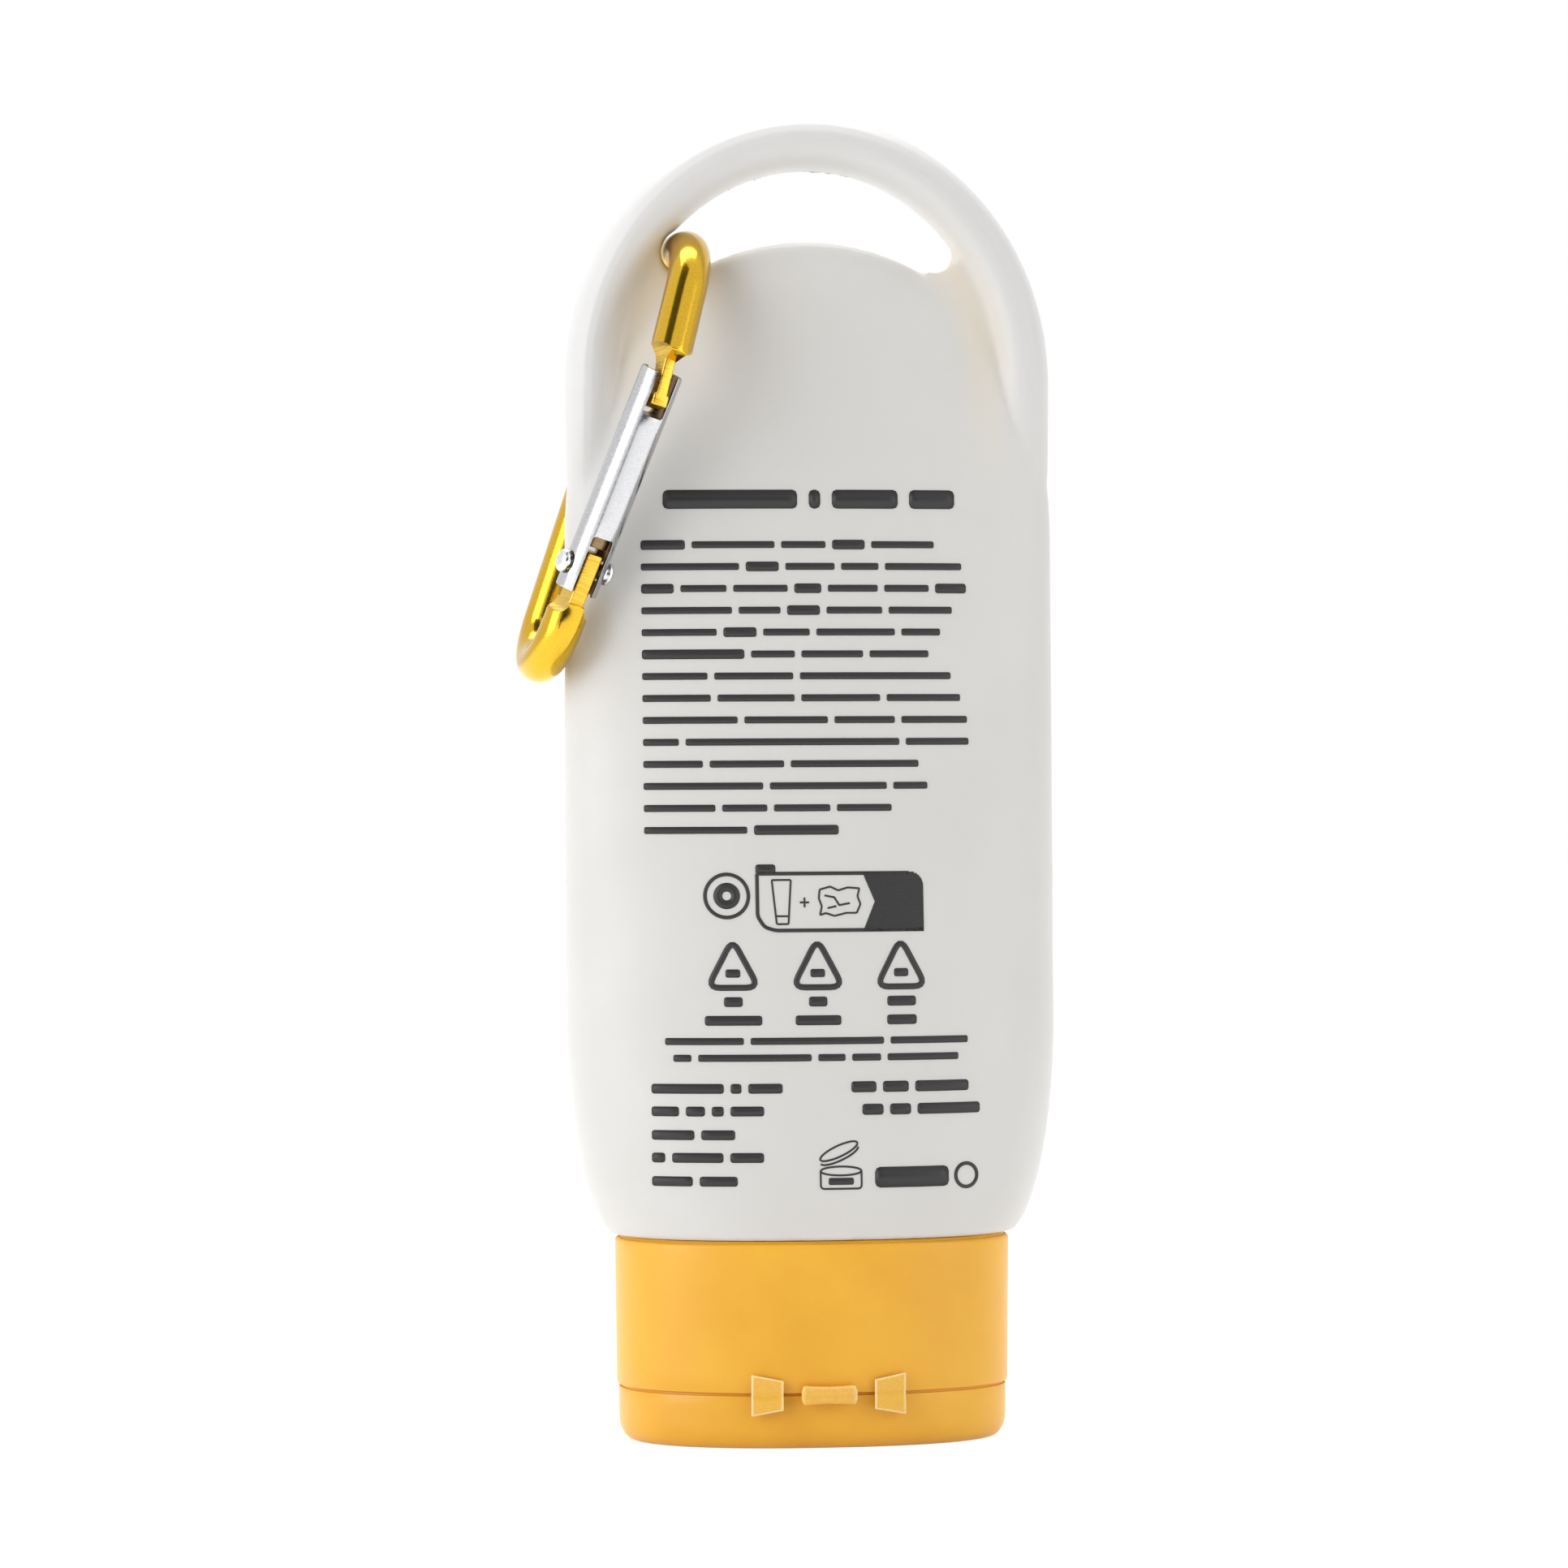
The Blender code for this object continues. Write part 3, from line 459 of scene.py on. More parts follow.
def makeLotion():
    skin = lotionSkin
    made, tree, shader, position = newMaterial(
        "lotionFill", Subsurface_Weight=0.5, Subsurface_Scale=0.002,
        Subsurface_Radius=(1.0, 0.85, 0.6))
    grain = useGroup(tree, grainGroup, position, Scale=skin["grainScale"])
    plug(tree, mixColours(tree, grain["Mottle"], skin["low"], skin["high"]),
         shader["Base Color"])
    roughen(tree, shader, grain["Mottle"], skin)
    bumpFrom(tree, shader, grain["Height"], skin["grainDepth"], 0.3)
    return made


# the bottle
bottleSize = dict(
    footZ=0.0212, height=0.1029, halfWidth=0.0255, footHalfWidth=0.0207, shoulder=0.022,
    halfDepth=0.0143, footHalfDepth=0.0139, crownHalfDepth=0.0031, crownHeight=0.0321,
    crownRound=0.0065, wall=0.001, footExponent=2.3, crownExponent=2.0, shoulderExponent=0.6,
    riseExponent=2.4, neckRadius=0.0092, neckWall=0.0012, neckEndZ=0.00815, beadZ=0.0172,
    beadHeight=0.0005, beadWidth=0.0016, voxel=0.00042, softening=9, boreOverrun=0.002,
    points=144, innerPoints=96, shoulderRings=24, wallRings=30, crownRings=48)
topZ = bottleSize["footZ"] + bottleSize["height"]
crownFootZ = topZ - bottleSize["crownHeight"]
loopSize = dict(
    slotHeight=0.00735, band=0.00565, halfWidth=0.0253, rise=0.0276, halfDepth=0.0036,
    exponent=2.05, sides=40, arcSteps=120, railSteps=24, railLength=0.024, railSink=0.0012,
    railBandLoss=0.4, railDepthLoss=0.85, slotEndRadius=0.0021, slotEndX=0.0133,
    slotEndDrop=0.0011, webHalfDepth=0.0017, webFrom=45, webSweep=155, webSteps=24,
    relief=0.00035, reliefOverrun=0.002, reliefSteps=16, flare=0.0014, flarePower=1.3,
    sideFlare=0.3, throat=0.3, throatReach=0.0018)
loopSize["centreZ"] = topZ + loopSize["slotHeight"] + loopSize["band"] - loopSize["rise"]
clipPlace = dict(
    x=-0.0129, y=0.0006, z=0.12305, lean=19.9, turn=7.0, pitch=8.3, rod=0.00215,
    spineY=0.0097, topBow=0.009, bottomBow=0.00525, length=0.0451, noseDrop=0.0142,
    splay=20.0, gateReach=0.0089, gateTwist=12.0, rivetRise=0.0096)


def bodySection(height, inset):  # half width, half depth and roundness of the body there
    size = bottleSize
    share = (height - size["footZ"]) / size["height"]
    halfDepth = size["halfDepth"] + (size["crownHalfDepth"] - size["halfDepth"]) * share
    halfWidth = size["halfWidth"]
    below = (size["footZ"] + size["shoulder"] - height) / size["shoulder"]
    if below > 0:
        swell = max(1 - below ** 2, 0) ** size["shoulderExponent"]
        halfWidth = size["footHalfWidth"] + (size["halfWidth"] - size["footHalfWidth"]) * swell
        halfDepth = halfDepth - (size["halfDepth"] - size["footHalfDepth"]) * (1 - swell)
    exponent = size["footExponent"] + (size["crownExponent"] - size["footExponent"]) * share
    crown = (height - crownFootZ) / (size["crownHeight"] - inset)
    if crown > 0:
        left = math.sqrt(max(1 - crown ** size["riseExponent"], 0))
        halfWidth = (halfWidth - inset) * left + inset
    edge = (height - topZ + size["crownRound"]) / (size["crownRound"] - inset)
    if edge > 0:
        halfDepth = (halfDepth - inset) * math.sqrt(max(1 - edge ** 2, 0)) + inset
    return halfWidth - inset, halfDepth - inset, exponent


def bodyRings(foot, inset, count):
    size = bottleSize
    shoulder = size["footZ"] + size["shoulder"]
    low, middle, high = size["shoulderRings"], size["wallRings"], size["crownRings"]
    heights = [foot + (shoulder - foot) * (1 - math.cos(math.pi / 2 * step / low))
               for step in range(low)]
    heights += [shoulder + (crownFootZ - shoulder) * step / middle for step in range(middle)]
    for step in range(high):
        rise = math.sin(math.pi / 2 * step / high) ** (2 / size["riseExponent"])
        heights.append(crownFootZ + (topZ - inset - crownFootZ) * rise)
    rings = []
    for height in heights:
        halfWidth, halfDepth, exponent = bodySection(height, inset)
        rings.append(ovalRing(halfWidth, halfDepth, height, exponent, count))
    return rings


def sweepRings(stops, normal, sides, exponent=2.0):  # a ring round each stop of a rod's path
    rings = []
    for point, tangent, halfAcross, halfDeep in stops:
        across = tangent.cross(normal).normalized()
        ring = []
        for step in range(sides):
            angle = math.tau * step / sides
            ring.append(point + across * halfAcross * signedPower(math.cos(angle), 2 / exponent)
                        + normal * halfDeep * signedPower(math.sin(angle), 2 / exponent))
        rings.append(ring)
    return rings


def loopStops():  # the carrying loop's arch, with a rail that sinks into the body at each end
    size = loopSize
    middleWidth = size["halfWidth"] - size["band"] / 2
    middleRise = size["rise"] - size["band"] / 2
    stops = []
    for step in range(size["arcSteps"] + 1):
        angle = math.pi * step / size["arcSteps"]
        point = Vector((middleWidth * math.cos(angle), 0,
                        size["centreZ"] + middleRise * math.sin(angle)))
        tangent = Vector((-middleWidth * math.sin(angle), 0, middleRise * math.cos(angle)))
        stops.append((point, tangent, size["band"] / 2, size["halfDepth"]))
    for side in (1, -1):
        rail = []
        for step in range(1, size["railSteps"] + 1):
            share = step / size["railSteps"]
            halfAcross = size["band"] / 2 * (1 - size["railBandLoss"] * share)
            edge = size["halfWidth"] - size["railSink"] * share ** 3
            point = Vector((side * (edge - halfAcross), 0,
                            size["centreZ"] - size["railLength"] * share))
            halfDeep = size["halfDepth"] * (1 - size["railDepthLoss"] * share)
            rail.append((point, Vector((0, 0, side)), halfAcross, halfDeep))
        stops = list(reversed(rail)) + stops if side > 0 else stops + rail
    return stops


def webMesh(name, side):  # the web that rounds off one end of the slot
    size = loopSize
    centreZ = topZ - size["slotEndDrop"]
    radius = size["slotEndRadius"]
    sunk = size["band"] / 2
    outline = []
    for step in range(size["webSteps"] + 1):
        angle = math.radians(size["webFrom"] - size["webSweep"] * step / size["webSteps"])
        outline.append((size["slotEndX"] + radius * math.cos(angle),
                        centreZ + radius * math.sin(angle)))
    outline += [
        (size["slotEndX"] - radius, centreZ - radius - sunk / 2),
        (size["slotEndX"] + sunk, centreZ - radius - 2 * sunk),
        (size["halfWidth"] - size["band"], size["centreZ"] + sunk / 2),
        (size["halfWidth"] - sunk, size["centreZ"] + sunk),
        (size["slotEndX"] + radius + sunk / 2, centreZ + radius)]
    deep = size["webHalfDepth"]
    return ringSkin(name, [[Vector((side * across, place, height)) for across, height in outline]
                           for place in (-deep, deep)])


def reliefMesh(name):  # the slot's end opened out where the clip's rod passes
    size = loopSize
    reach = size["halfDepth"] + size["reliefOverrun"]
    steps = size["reliefSteps"]
    rings = []
    for step in range(-steps, steps + 1):
        deep = reach * step / steps
        flare = size["flare"] * (abs(deep) / size["halfDepth"]) ** size["flarePower"]
        opening = min(size["throat"] + abs(deep) / size["throatReach"], 1)
        radius = clipPlace["rod"] + size["relief"] * opening
        rings.append([Vector((
            clipPlace["x"] + point.x * (1 + flare * size["sideFlare"] / radius), deep,
            clipPlace["z"] + point.y * (1 + (flare / radius if point.y < 0 else 0))))
            for point in roundRing(radius, 0, 48)])
    return ringSkin(name, rings)


def makeBottle(white):
    size = bottleSize
    neckRadius, footZ, wall = size["neckRadius"], size["footZ"], size["wall"]
    half = size["beadWidth"] / 2
    neck = [roundRing(neckRadius, size["neckEndZ"])]
    for drop, out in ((-half, 0), (-half / 2, size["beadHeight"]),
                      (half / 2, size["beadHeight"]), (half, 0)):
        neck.append(roundRing(neckRadius + out, size["beadZ"] + drop))
    neck.append(roundRing(neckRadius, footZ))
    rough = newObject("bottleRough", ringSkin(
        "rough", neck + bodyRings(footZ, 0, size["points"])))
    loop = newObject("loopTool", ringSkin("loop", sweepRings(
        loopStops(), Vector((0, 1, 0)), loopSize["sides"], loopSize["exponent"])))
    webs = [newObject(name, webMesh("web", side))
            for name, side in (("webRightTool", 1), ("webLeftTool", -1))]
    relief = newObject("reliefTool", reliefMesh("relief"))
    for item in (loop, *webs):
        cutWith(rough, item, "UNION")
    cutWith(rough, relief)
    voxels = rough.modifiers.new("evenSkin", "REMESH")
    voxels.mode = "VOXEL"
    voxels.voxel_size = size["voxel"]
    soften = rough.modifiers.new("softFillets", "SMOOTH")
    soften.factor = 0.5
    soften.iterations = size["softening"]
    # the hollow is cut last, so that the wall keeps its thickness
    outer = newObject("bottleOuter", bake(rough, "outer", loop, *webs, relief))
    bore = neckRadius - size["neckWall"]
    inner = [roundRing(bore, size["neckEndZ"] - size["boreOverrun"], size["innerPoints"]),
             roundRing(bore, footZ + wall, size["innerPoints"])]
    inner += bodyRings(footZ + wall, wall, size["innerPoints"])
    hollow = newObject("hollowTool", ringSkin("hollow", inner))
    cutWith(outer, hollow)
    mesh = bake(outer, "bottleShell", hollow)
    mesh.materials.clear()
    return newObject("bottleShell", smooth(mesh, 60), white)


# what is printed on it: plain bars and plain shapes, drawn as strokes on flat paper first

def geometryTree(name, inputs):
    return newTree("GeometryNodeTree", name, [("Geometry", "Geometry"), *inputs],
                   [("Geometry", "Geometry")])


def endTree(tree, geometry, finish, result):
    real = addNode(tree, "GeometryNodeRealizeInstances", {"Geometry": geometry})
    plug(tree, addNode(tree, "GeometryNodeSetMaterial", {"Geometry": real, "Material": finish}),
         result["Geometry"])
    return tree


def namedValue(tree, name):  # a number that each point of the path carries
    return addNode(tree, "GeometryNodeInputNamedAttribute", {"Name": name}, data_type="FLOAT")


def tubeAlong(tree, path, width, nib):  # a profile swept along a path, as wide as width says
    sized = addNode(tree, "GeometryNodeSetCurveRadius", {"Curve": path, "Radius": width})
    tube = addNode(tree, "GeometryNodeCurveToMesh", {
        "Curve": sized, "Profile Curve": nib, "Fill Caps": True})
    if "Scale" in tube.inputs:
        plug(tree, width, tube.inputs["Scale"])
    return tube


def placeParts(tree):  # each point's x, y and z
    return addNode(tree, "ShaderNodeSeparateXYZ",
                   {"Vector": addNode(tree, "GeometryNodeInputPosition")}).outputs


def makeInkTree():
    tree, given, result = geometryTree("inkStrokes", [
        ("Lift", "Float", 0.00003), ("Sink", "Float", 0.00004), ("Surface", "Object"),
        ("Ink", "Material")])
    path = addNode(tree, "GeometryNodeMeshToCurve", {"Mesh": given["Geometry"]})
    upright = addNode(tree, "GeometryNodeSetCurveNormal", {"Curve": path}, mode="Z_UP")
    nib = addNode(tree, "GeometryNodeCurvePrimitiveQuadrilateral", {"Width": 2.0, "Height": 0.2})
    ribbon = tubeAlong(tree, upright, namedValue(tree, "halfWidth"), nib)
    # the paper's x and y become the bottle's x and z, laid on its front by a ray from -Y
    x, y, z = placeParts(tree)
    start = addNode(tree, "ShaderNodeCombineXYZ", {"X": x, "Y": -0.05, "Z": y})
    target = addNode(tree, "GeometryNodeObjectInfo", {"Object": given["Surface"]},
                     transform_space="ORIGINAL")
    ray = addNode(tree, "GeometryNodeRaycast", {
        "Target Geometry": target.outputs["Geometry"], "Source Position": start,
        "Ray Direction": (0.0, 1.0, 0.0), "Ray Length": 0.1})
    isTop = addNode(tree, "FunctionNodeCompare", {"A": z, "B": 0.0}, data_type="FLOAT",
                    operation="GREATER_THAN")
    depth = addNode(tree, "GeometryNodeSwitch", {
        "Switch": isTop, "False": given["Sink"],
        "True": productOf(tree, given["Lift"], -1.0)}, input_type="FLOAT")
    lay = addNode(tree, "GeometryNodeSetPosition", {
        "Geometry": ribbon, "Position": ray.outputs["Hit Position"],
        "Offset": addNode(tree, "ShaderNodeCombineXYZ", {"Y": depth})})
    return endTree(tree, lay, given["Ink"], result)


def runTree(item, tree, values, name):  # a tree's result as a plain mesh, its inputs by name
    modifier = item.modifiers.new(tree.name, "NODES")
    modifier.node_group = tree
    for socket in tree.interface.items_tree:
        if socket.in_out == "INPUT" and socket.name in values:
            modifier[socket.identifier] = values[socket.name]
    return bake(item, name)


def pathObject(name, points, edges, label, values):  # a path whose points carry one number
    mesh = bpy.data.meshes.new(name)
    mesh.from_pydata(points, edges, [])
    mesh.attributes.new(label, "FLOAT", "POINT").data.foreach_set("value", values)
    return newObject(name, mesh)


# The print is laid out in millimetres: x from the bottle's middle, z from what it stands on.
# Each bar and line is given by half its width.
printSize = dict(
    bar=0.36, boldBar=0.5, titleBar=0.98, smallBar=0.5, sideBar=0.56, thin=0.1, line=0.19,
    gap=0.68, titleGap=1.2, corner=0.5, endShare=0.3, barStep=0.5, lineStep=0.3,
    cornerSteps=5, left=-18.0, titleZ=97.05, rowsZ=92.35, rowPitch=2.257)
# word lengths, row by row: a negative length is a heavier bar
printRows = (
    (-4.5, 8.5, 4.6, -3.4, 6.6), (10.0, -3.4, 5.1, 3.9, 8.1),
    (-3.3, 4.7, 5.6, -2.8, 5.2, 4.7, -3.3), (9.2, 4.3, -3.4, 5.8, 6.7),
    (7.6, -3.4, 4.8, 8.2, 4.1), (-10.4, 4.5, 6.4, 6.2), (6.6, 8.1, 15.8), (6.9, 7.9, 8.2, 7.8),
    (9.6, 8.6, 6.3, 7.0), (3.6, 22.0, 6.7), (6.0, 7.6, 13.3), (12.1, 12.1, 3.6),
    (7.2, 4.6, 5.8, 5.7), (10.4, -8.7))
panelSize = dict(foot=52.65, height=6.0, strips=40, strip=0.085, inner=4.15, notch=1.25,
                 outer=9.1, corner=1.4, cornerFrom=0.76)
potSize = dict(x=1.4, z=28.3, halfWidth=2.1, rim=0.45, lidTilt=0.42, lid=0.55)


def makePrint(ink, bottle):
    size = printSize
    bold, side, thin, line = size["smallBar"], size["sideBar"], size["thin"], size["line"]
    points = []
    widths = []
    edges = []

    def stroke(path, halfWidths, closed=False):
        first = len(points)
        points.extend((x / 1000, z / 1000, 0.0) for x, z in path)
        widths.extend(half / 1000 for half in halfWidths)
        edges.extend((first + k, first + k + 1) for k in range(len(path) - 1))
        if closed:
            edges.append((first + len(path) - 1, first))

    def bar(x0, x1, z, half):  # a bar with softly rounded ends
        corner = half * size["corner"]
        ends = ((0, half - corner), (corner * size["endShare"], half - corner * roundShare),
                (corner, half))
        span = x1 - x0 - 2 * corner
        inner = max(int(span / size["barStep"]), 1)
        marks = [(x0 + along, width) for along, width in ends]
        marks += [(x0 + corner + span * k / inner, half) for k in range(1, inner)]
        marks += [(x1 - along, width) for along, width in reversed(ends)]
        stroke([(x, z) for x, _ in marks], [width for _, width in marks])

    def row(x, z, lengths, half, heavy=None, gap=size["gap"]):
        for length in lengths:
            bar(x, x + abs(length), z, heavy if length < 0 and heavy else half)
            x += abs(length) + gap

    def polyline(corners, half, closed=True, rounding=0.0):
        path = []
        count = len(corners)
        for k in range(count if closed else count - 1):
            a = Vector(corners[k])
            b = Vector(corners[(k + 1) % count])
            along = (b - a).normalized()
            start = a + along * rounding if closed or k > 0 else a
            end = b - along * rounding if closed or k < count - 2 else b
            pieces = max(int((end - start).length / size["lineStep"]), 1)
            path += [tuple(start.lerp(end, j / pieces)) for j in range(pieces + 1)]
            if rounding and (closed or k < count - 2):
                c = Vector(corners[(k + 2) % count])
                after = b + (c - b).normalized() * rounding
                for j in range(1, size["cornerSteps"]):
                    t = j / size["cornerSteps"]
                    path.append(tuple(end * (1 - t) ** 2 + b * 2 * t * (1 - t) + after * t ** 2))
        stroke(path, [half] * len(path), closed)

    def openLine(half, *corners):
        polyline(corners, half, closed=False)

    def arc(x, z, radiusX, radiusZ, half, fromDegrees=0, tilt=0.0, count=40):
        closed = fromDegrees == 0
        path = []
        for k in range(count if closed else count + 1):
            angle = math.radians(fromDegrees + (360 - fromDegrees) * k / count)
            u = radiusX * math.cos(angle)
            v = radiusZ * math.sin(angle)
            path.append((x + u * math.cos(tilt) - v * math.sin(tilt),
                         z + u * math.sin(tilt) + v * math.cos(tilt)))
        stroke(path, [half] * len(path), closed)

    row(-15.7, size["titleZ"], (13.8, 1.2, 6.9, 4.8), size["titleBar"], gap=size["titleGap"])
    for index, lengths in enumerate(printRows):
        row(size["left"], size["rowsZ"] - size["rowPitch"] * index, lengths, size["bar"],
            size["boldBar"])
    # a ring, and a panel with a tab, a dark end with a notch, a tapered tube and a crumpled sheet
    arc(-9.8, 56.3, 2.2, 2.2, line)
    arc(-9.8, 56.3, 0.9, 0.9, 0.45)
    polyline([(-6.7, 58.55), (-6.7, 54.2), (-6.0, 53.1), (-4.9, 52.75), (10.5, 52.75)], line,
             closed=False, rounding=0.4)
    openLine(line, (-6.7, 58.55), (9.0, 58.55))
    bar(-6.85, -4.8, 59.0, bold)
    panel = panelSize
    for strip in range(panel["strips"]):
        share = (strip + 0.5) / panel["strips"]
        inner = panel["inner"] + panel["notch"] * (1 - abs(2 * share - 1))
        above = max((share - panel["cornerFrom"]) / (1 - panel["cornerFrom"]), 0)
        outer = panel["outer"] + panel["corner"] * math.sqrt(1 - above ** 2)
        z = panel["foot"] + panel["height"] * share
        openLine(panel["strip"], (inner, z), (outer, z))
    polyline([(-4.75, 53.4), (-3.55, 53.4), (-3.25, 57.9), (-5.2, 57.9)], thin, rounding=0.15)
    openLine(thin, (-4.8, 54.2), (-3.5, 54.2))
    openLine(thin, (-2.35, 55.6), (-1.4, 55.6))
    openLine(thin, (-1.875, 55.1), (-1.875, 56.1))
    polyline([(-0.3, 56.9), (0.8, 57.2), (1.6, 56.8), (2.6, 57.1), (3.8, 57.0), (3.6, 56.2),
              (3.9, 55.4), (3.5, 54.5), (2.4, 54.5), (1.2, 54.2), (0.3, 54.5), (-0.3, 54.3),
              (-0.1, 55.2), (-0.4, 56.0)], thin, rounding=0.12)
    openLine(thin, (0.2, 56.3), (1.2, 56.1), (1.7, 55.3), (2.8, 55.5))
    openLine(thin, (0.5, 55.0), (1.4, 55.2))
    # three plain triangles, each round a short bar and over two more
    for x, upper, lower in ((-9.3, 1.9, 5.8), (-0.65, 1.9, 4.7), (8.0, 3.0, 3.1)):
        polyline([(x - 2.6, 46.95), (x + 2.6, 46.95), (x, 51.9)], 0.31, rounding=1.3)
        bar(x - 0.75, x + 0.75, 48.4, 0.42)
        bar(x - upper / 2, x + upper / 2, 45.5, bold)
        bar(x - lower / 2, x + lower / 2, 43.6, bold)
    for x, z, half, lengths in (
            (-16.2, 41.5, size["bar"], (7.9, 13.7, 8.2)),
            (-15.4, 39.8, size["bar"], (1.8, 11.5, 2.8, 3.0, 7.5)),
            (-17.6, 36.7, bold, (7.2, 1.1, 3.5)), (-17.6, 34.4, bold, (2.7, 1.9, 1.2, 3.4)),
            (-17.6, 32.0, bold, (4.2, 3.4)), (-17.6, 29.7, bold, (1.3, 5.1, 3.4)),
            (-17.6, 27.3, bold, (4.0, 3.8)),
            (2.6, 36.8, side, (2.6, 2.7, 5.7)), (3.7, 34.5, side, (2.2, 2.2, 6.7))):
        row(x, z, lengths, half)
    # a plain pot with its lid off
    pot = potSize
    x, z, wide = pot["x"], pot["z"], pot["halfWidth"]
    arc(x, z, wide, pot["rim"], thin, count=30)
    polyline([(x - wide, z), (x - wide, 26.5), (x + wide, 26.5), (x + wide, z)], thin,
             closed=False, rounding=0.4)
    arc(1.2, 30.3, wide, pot["lid"], thin, tilt=pot["lidTilt"], count=30)
    arc(1.25, 29.9, wide, pot["lid"], thin, 180, tilt=pot["lidTilt"], count=20)
    bar(0.1, 2.7, 27.25, 0.36)
    row(4.9, 27.6, (7.8,), 1.05)
    arc(14.6, 27.6, 1.15, 1.2, line, count=30)
    paper = pathObject("printPaper", points, edges, "halfWidth", widths)
    laid = runTree(paper, makeInkTree(), {"Surface": bottle, "Ink": ink}, "printMarks")
    print("print strokes", len(laid.polygons), "faces")
    return newObject("printMarks", laid)


# the ragged edge left where the slot was trimmed
flashSize = dict(fromDegrees=68, toDegrees=122, inset=0.00022, reach=0.0006, points=80,
                 endSwell=0.4)


def makeFlashTree():
    tree, given, result = geometryTree("trimFlash", [
        ("Reach", "Float", 0.00042), ("Thickness", "Float", 0.0003),
        ("Raggedness", "Float", 900.0), ("Seed", "Int", 7), ("Finish", "Material")])
    path = addNode(tree, "GeometryNodeMeshToCurve", {"Mesh": given["Geometry"]})
    even = addNode(tree, "GeometryNodeResampleCurve", {"Curve": path, "Count": 260},
                   mode="COUNT")
    rag = addNode(tree, "ShaderNodeTexNoise", {
        "Scale": given["Raggedness"], "W": given["Seed"], "Detail": 4.0, "Roughness": 0.75},
        noise_dimensions="4D")
    nib = addNode(tree, "GeometryNodeCurvePrimitiveCircle", {"Resolution": 10, "Radius": 1.0})
    reach = productOf(tree, spanOf(tree, rag, 0.12, 1.0, 0.42, 0.72), given["Reach"])
    tube = tubeAlong(tree, even, productOf(tree, reach, namedValue(tree, "swell")), nib)
    # pressed flat between the mould's halves
    x, y, z = placeParts(tree)
    half = productOf(tree, given["Thickness"], 0.5)
    pressed = mathOf(tree, "MAXIMUM", mathOf(tree, "MINIMUM", y, half),
                     productOf(tree, half, -1.0))
    press = addNode(tree, "GeometryNodeSetPosition", {
        "Geometry": tube,
        "Position": addNode(tree, "ShaderNodeCombineXYZ", {"X": x, "Y": pressed, "Z": z})})
    return endTree(tree, press, given["Finish"], result)


def makeFlash(white):
    size = flashSize
    halfWidth = loopSize["halfWidth"] - loopSize["band"] + size["inset"]
    rise = loopSize["rise"] - loopSize["band"] + size["inset"]
    points = []
    swells = []
    for step in range(size["points"] + 1):
        share = step / size["points"]
        angle = math.radians(size["fromDegrees"]
                             + (size["toDegrees"] - size["fromDegrees"]) * share)
        points.append((halfWidth * math.cos(angle), 0,
                       loopSize["centreZ"] + rise * math.sin(angle)))
        swells.append(math.sin(math.pi * share) ** size["endSwell"])
    path = pathObject("flashPath", points, [(k, k + 1) for k in range(size["points"])],
                      "swell", swells)
    laid = runTree(path, makeFlashTree(), {"Finish": white, "Reach": size["reach"]},
                   "slotFlash")
    return newObject("slotFlash", smooth(laid))


# the cap: skirt, lid and folding hinge
capSize = dict(
    halfWidth=0.0205, halfDepth=0.01375, exponent=2.3, points=168, taper=0.00015, sharp=32,
    lidHeight=0.00545, seam=0.0003, skirtHeight=0.01515, skirtWall=0.0013, deckRecess=0.0009,
    deck=0.0012, collarWall=0.001, collarHeight=0.0095, plugWall=0.0008, plugHeight=0.003,
    orifice=0.0015, spout=0.0028, spoutLength=0.0018, scoop=0.006, scoopDepth=0.0007,
    scoopHalf=0.0056, scoopPoints=96, fit=0.0003, lidWall=0.0012, lidFloor=0.0012,
    lidStep=0.0002, edgeRound=0.0022, edgeInset=0.0014, pin=0.0012, pinReach=0.0008,
    pipRadius=0.0013, pipDepth=0.0002, hingeOffset=0.00035, rim=0.00045, rimLip=0.00052,
    seamLip=0.0003, lipRise=0.00026, lipEdge=0.00022, lipLean=0.00004,
    corner=0.0003, deckCorner=0.0002, bevel=0.0001, hair=0.00003, scoopEase=0.0006,
    skirtSteps=8, rimSteps=5, edgeSteps=12, lidSteps=3)
skirtZ = capSize["lidHeight"] + capSize["seam"]
deckZ = skirtZ + capSize["deckRecess"]
deckTopZ = deckZ + capSize["deck"]
capTopZ = skirtZ + capSize["skirtHeight"]
spoutZ = deckZ - capSize["spoutLength"]
hingeZ = capSize["lidHeight"] + capSize["seam"] / 2
hingeY = -(capSize["halfDepth"] + capSize["hingeOffset"])


def capOval(inset, height):
    inset = inset + capSize["taper"] * max(capTopZ - height, 0) / capSize["skirtHeight"]
    return ovalRing(capSize["halfWidth"] - inset, capSize["halfDepth"] - inset, height,
                    capSize["exponent"], capSize["points"])


def capCircle(radius, height):
    return roundRing(radius, height, capSize["points"])


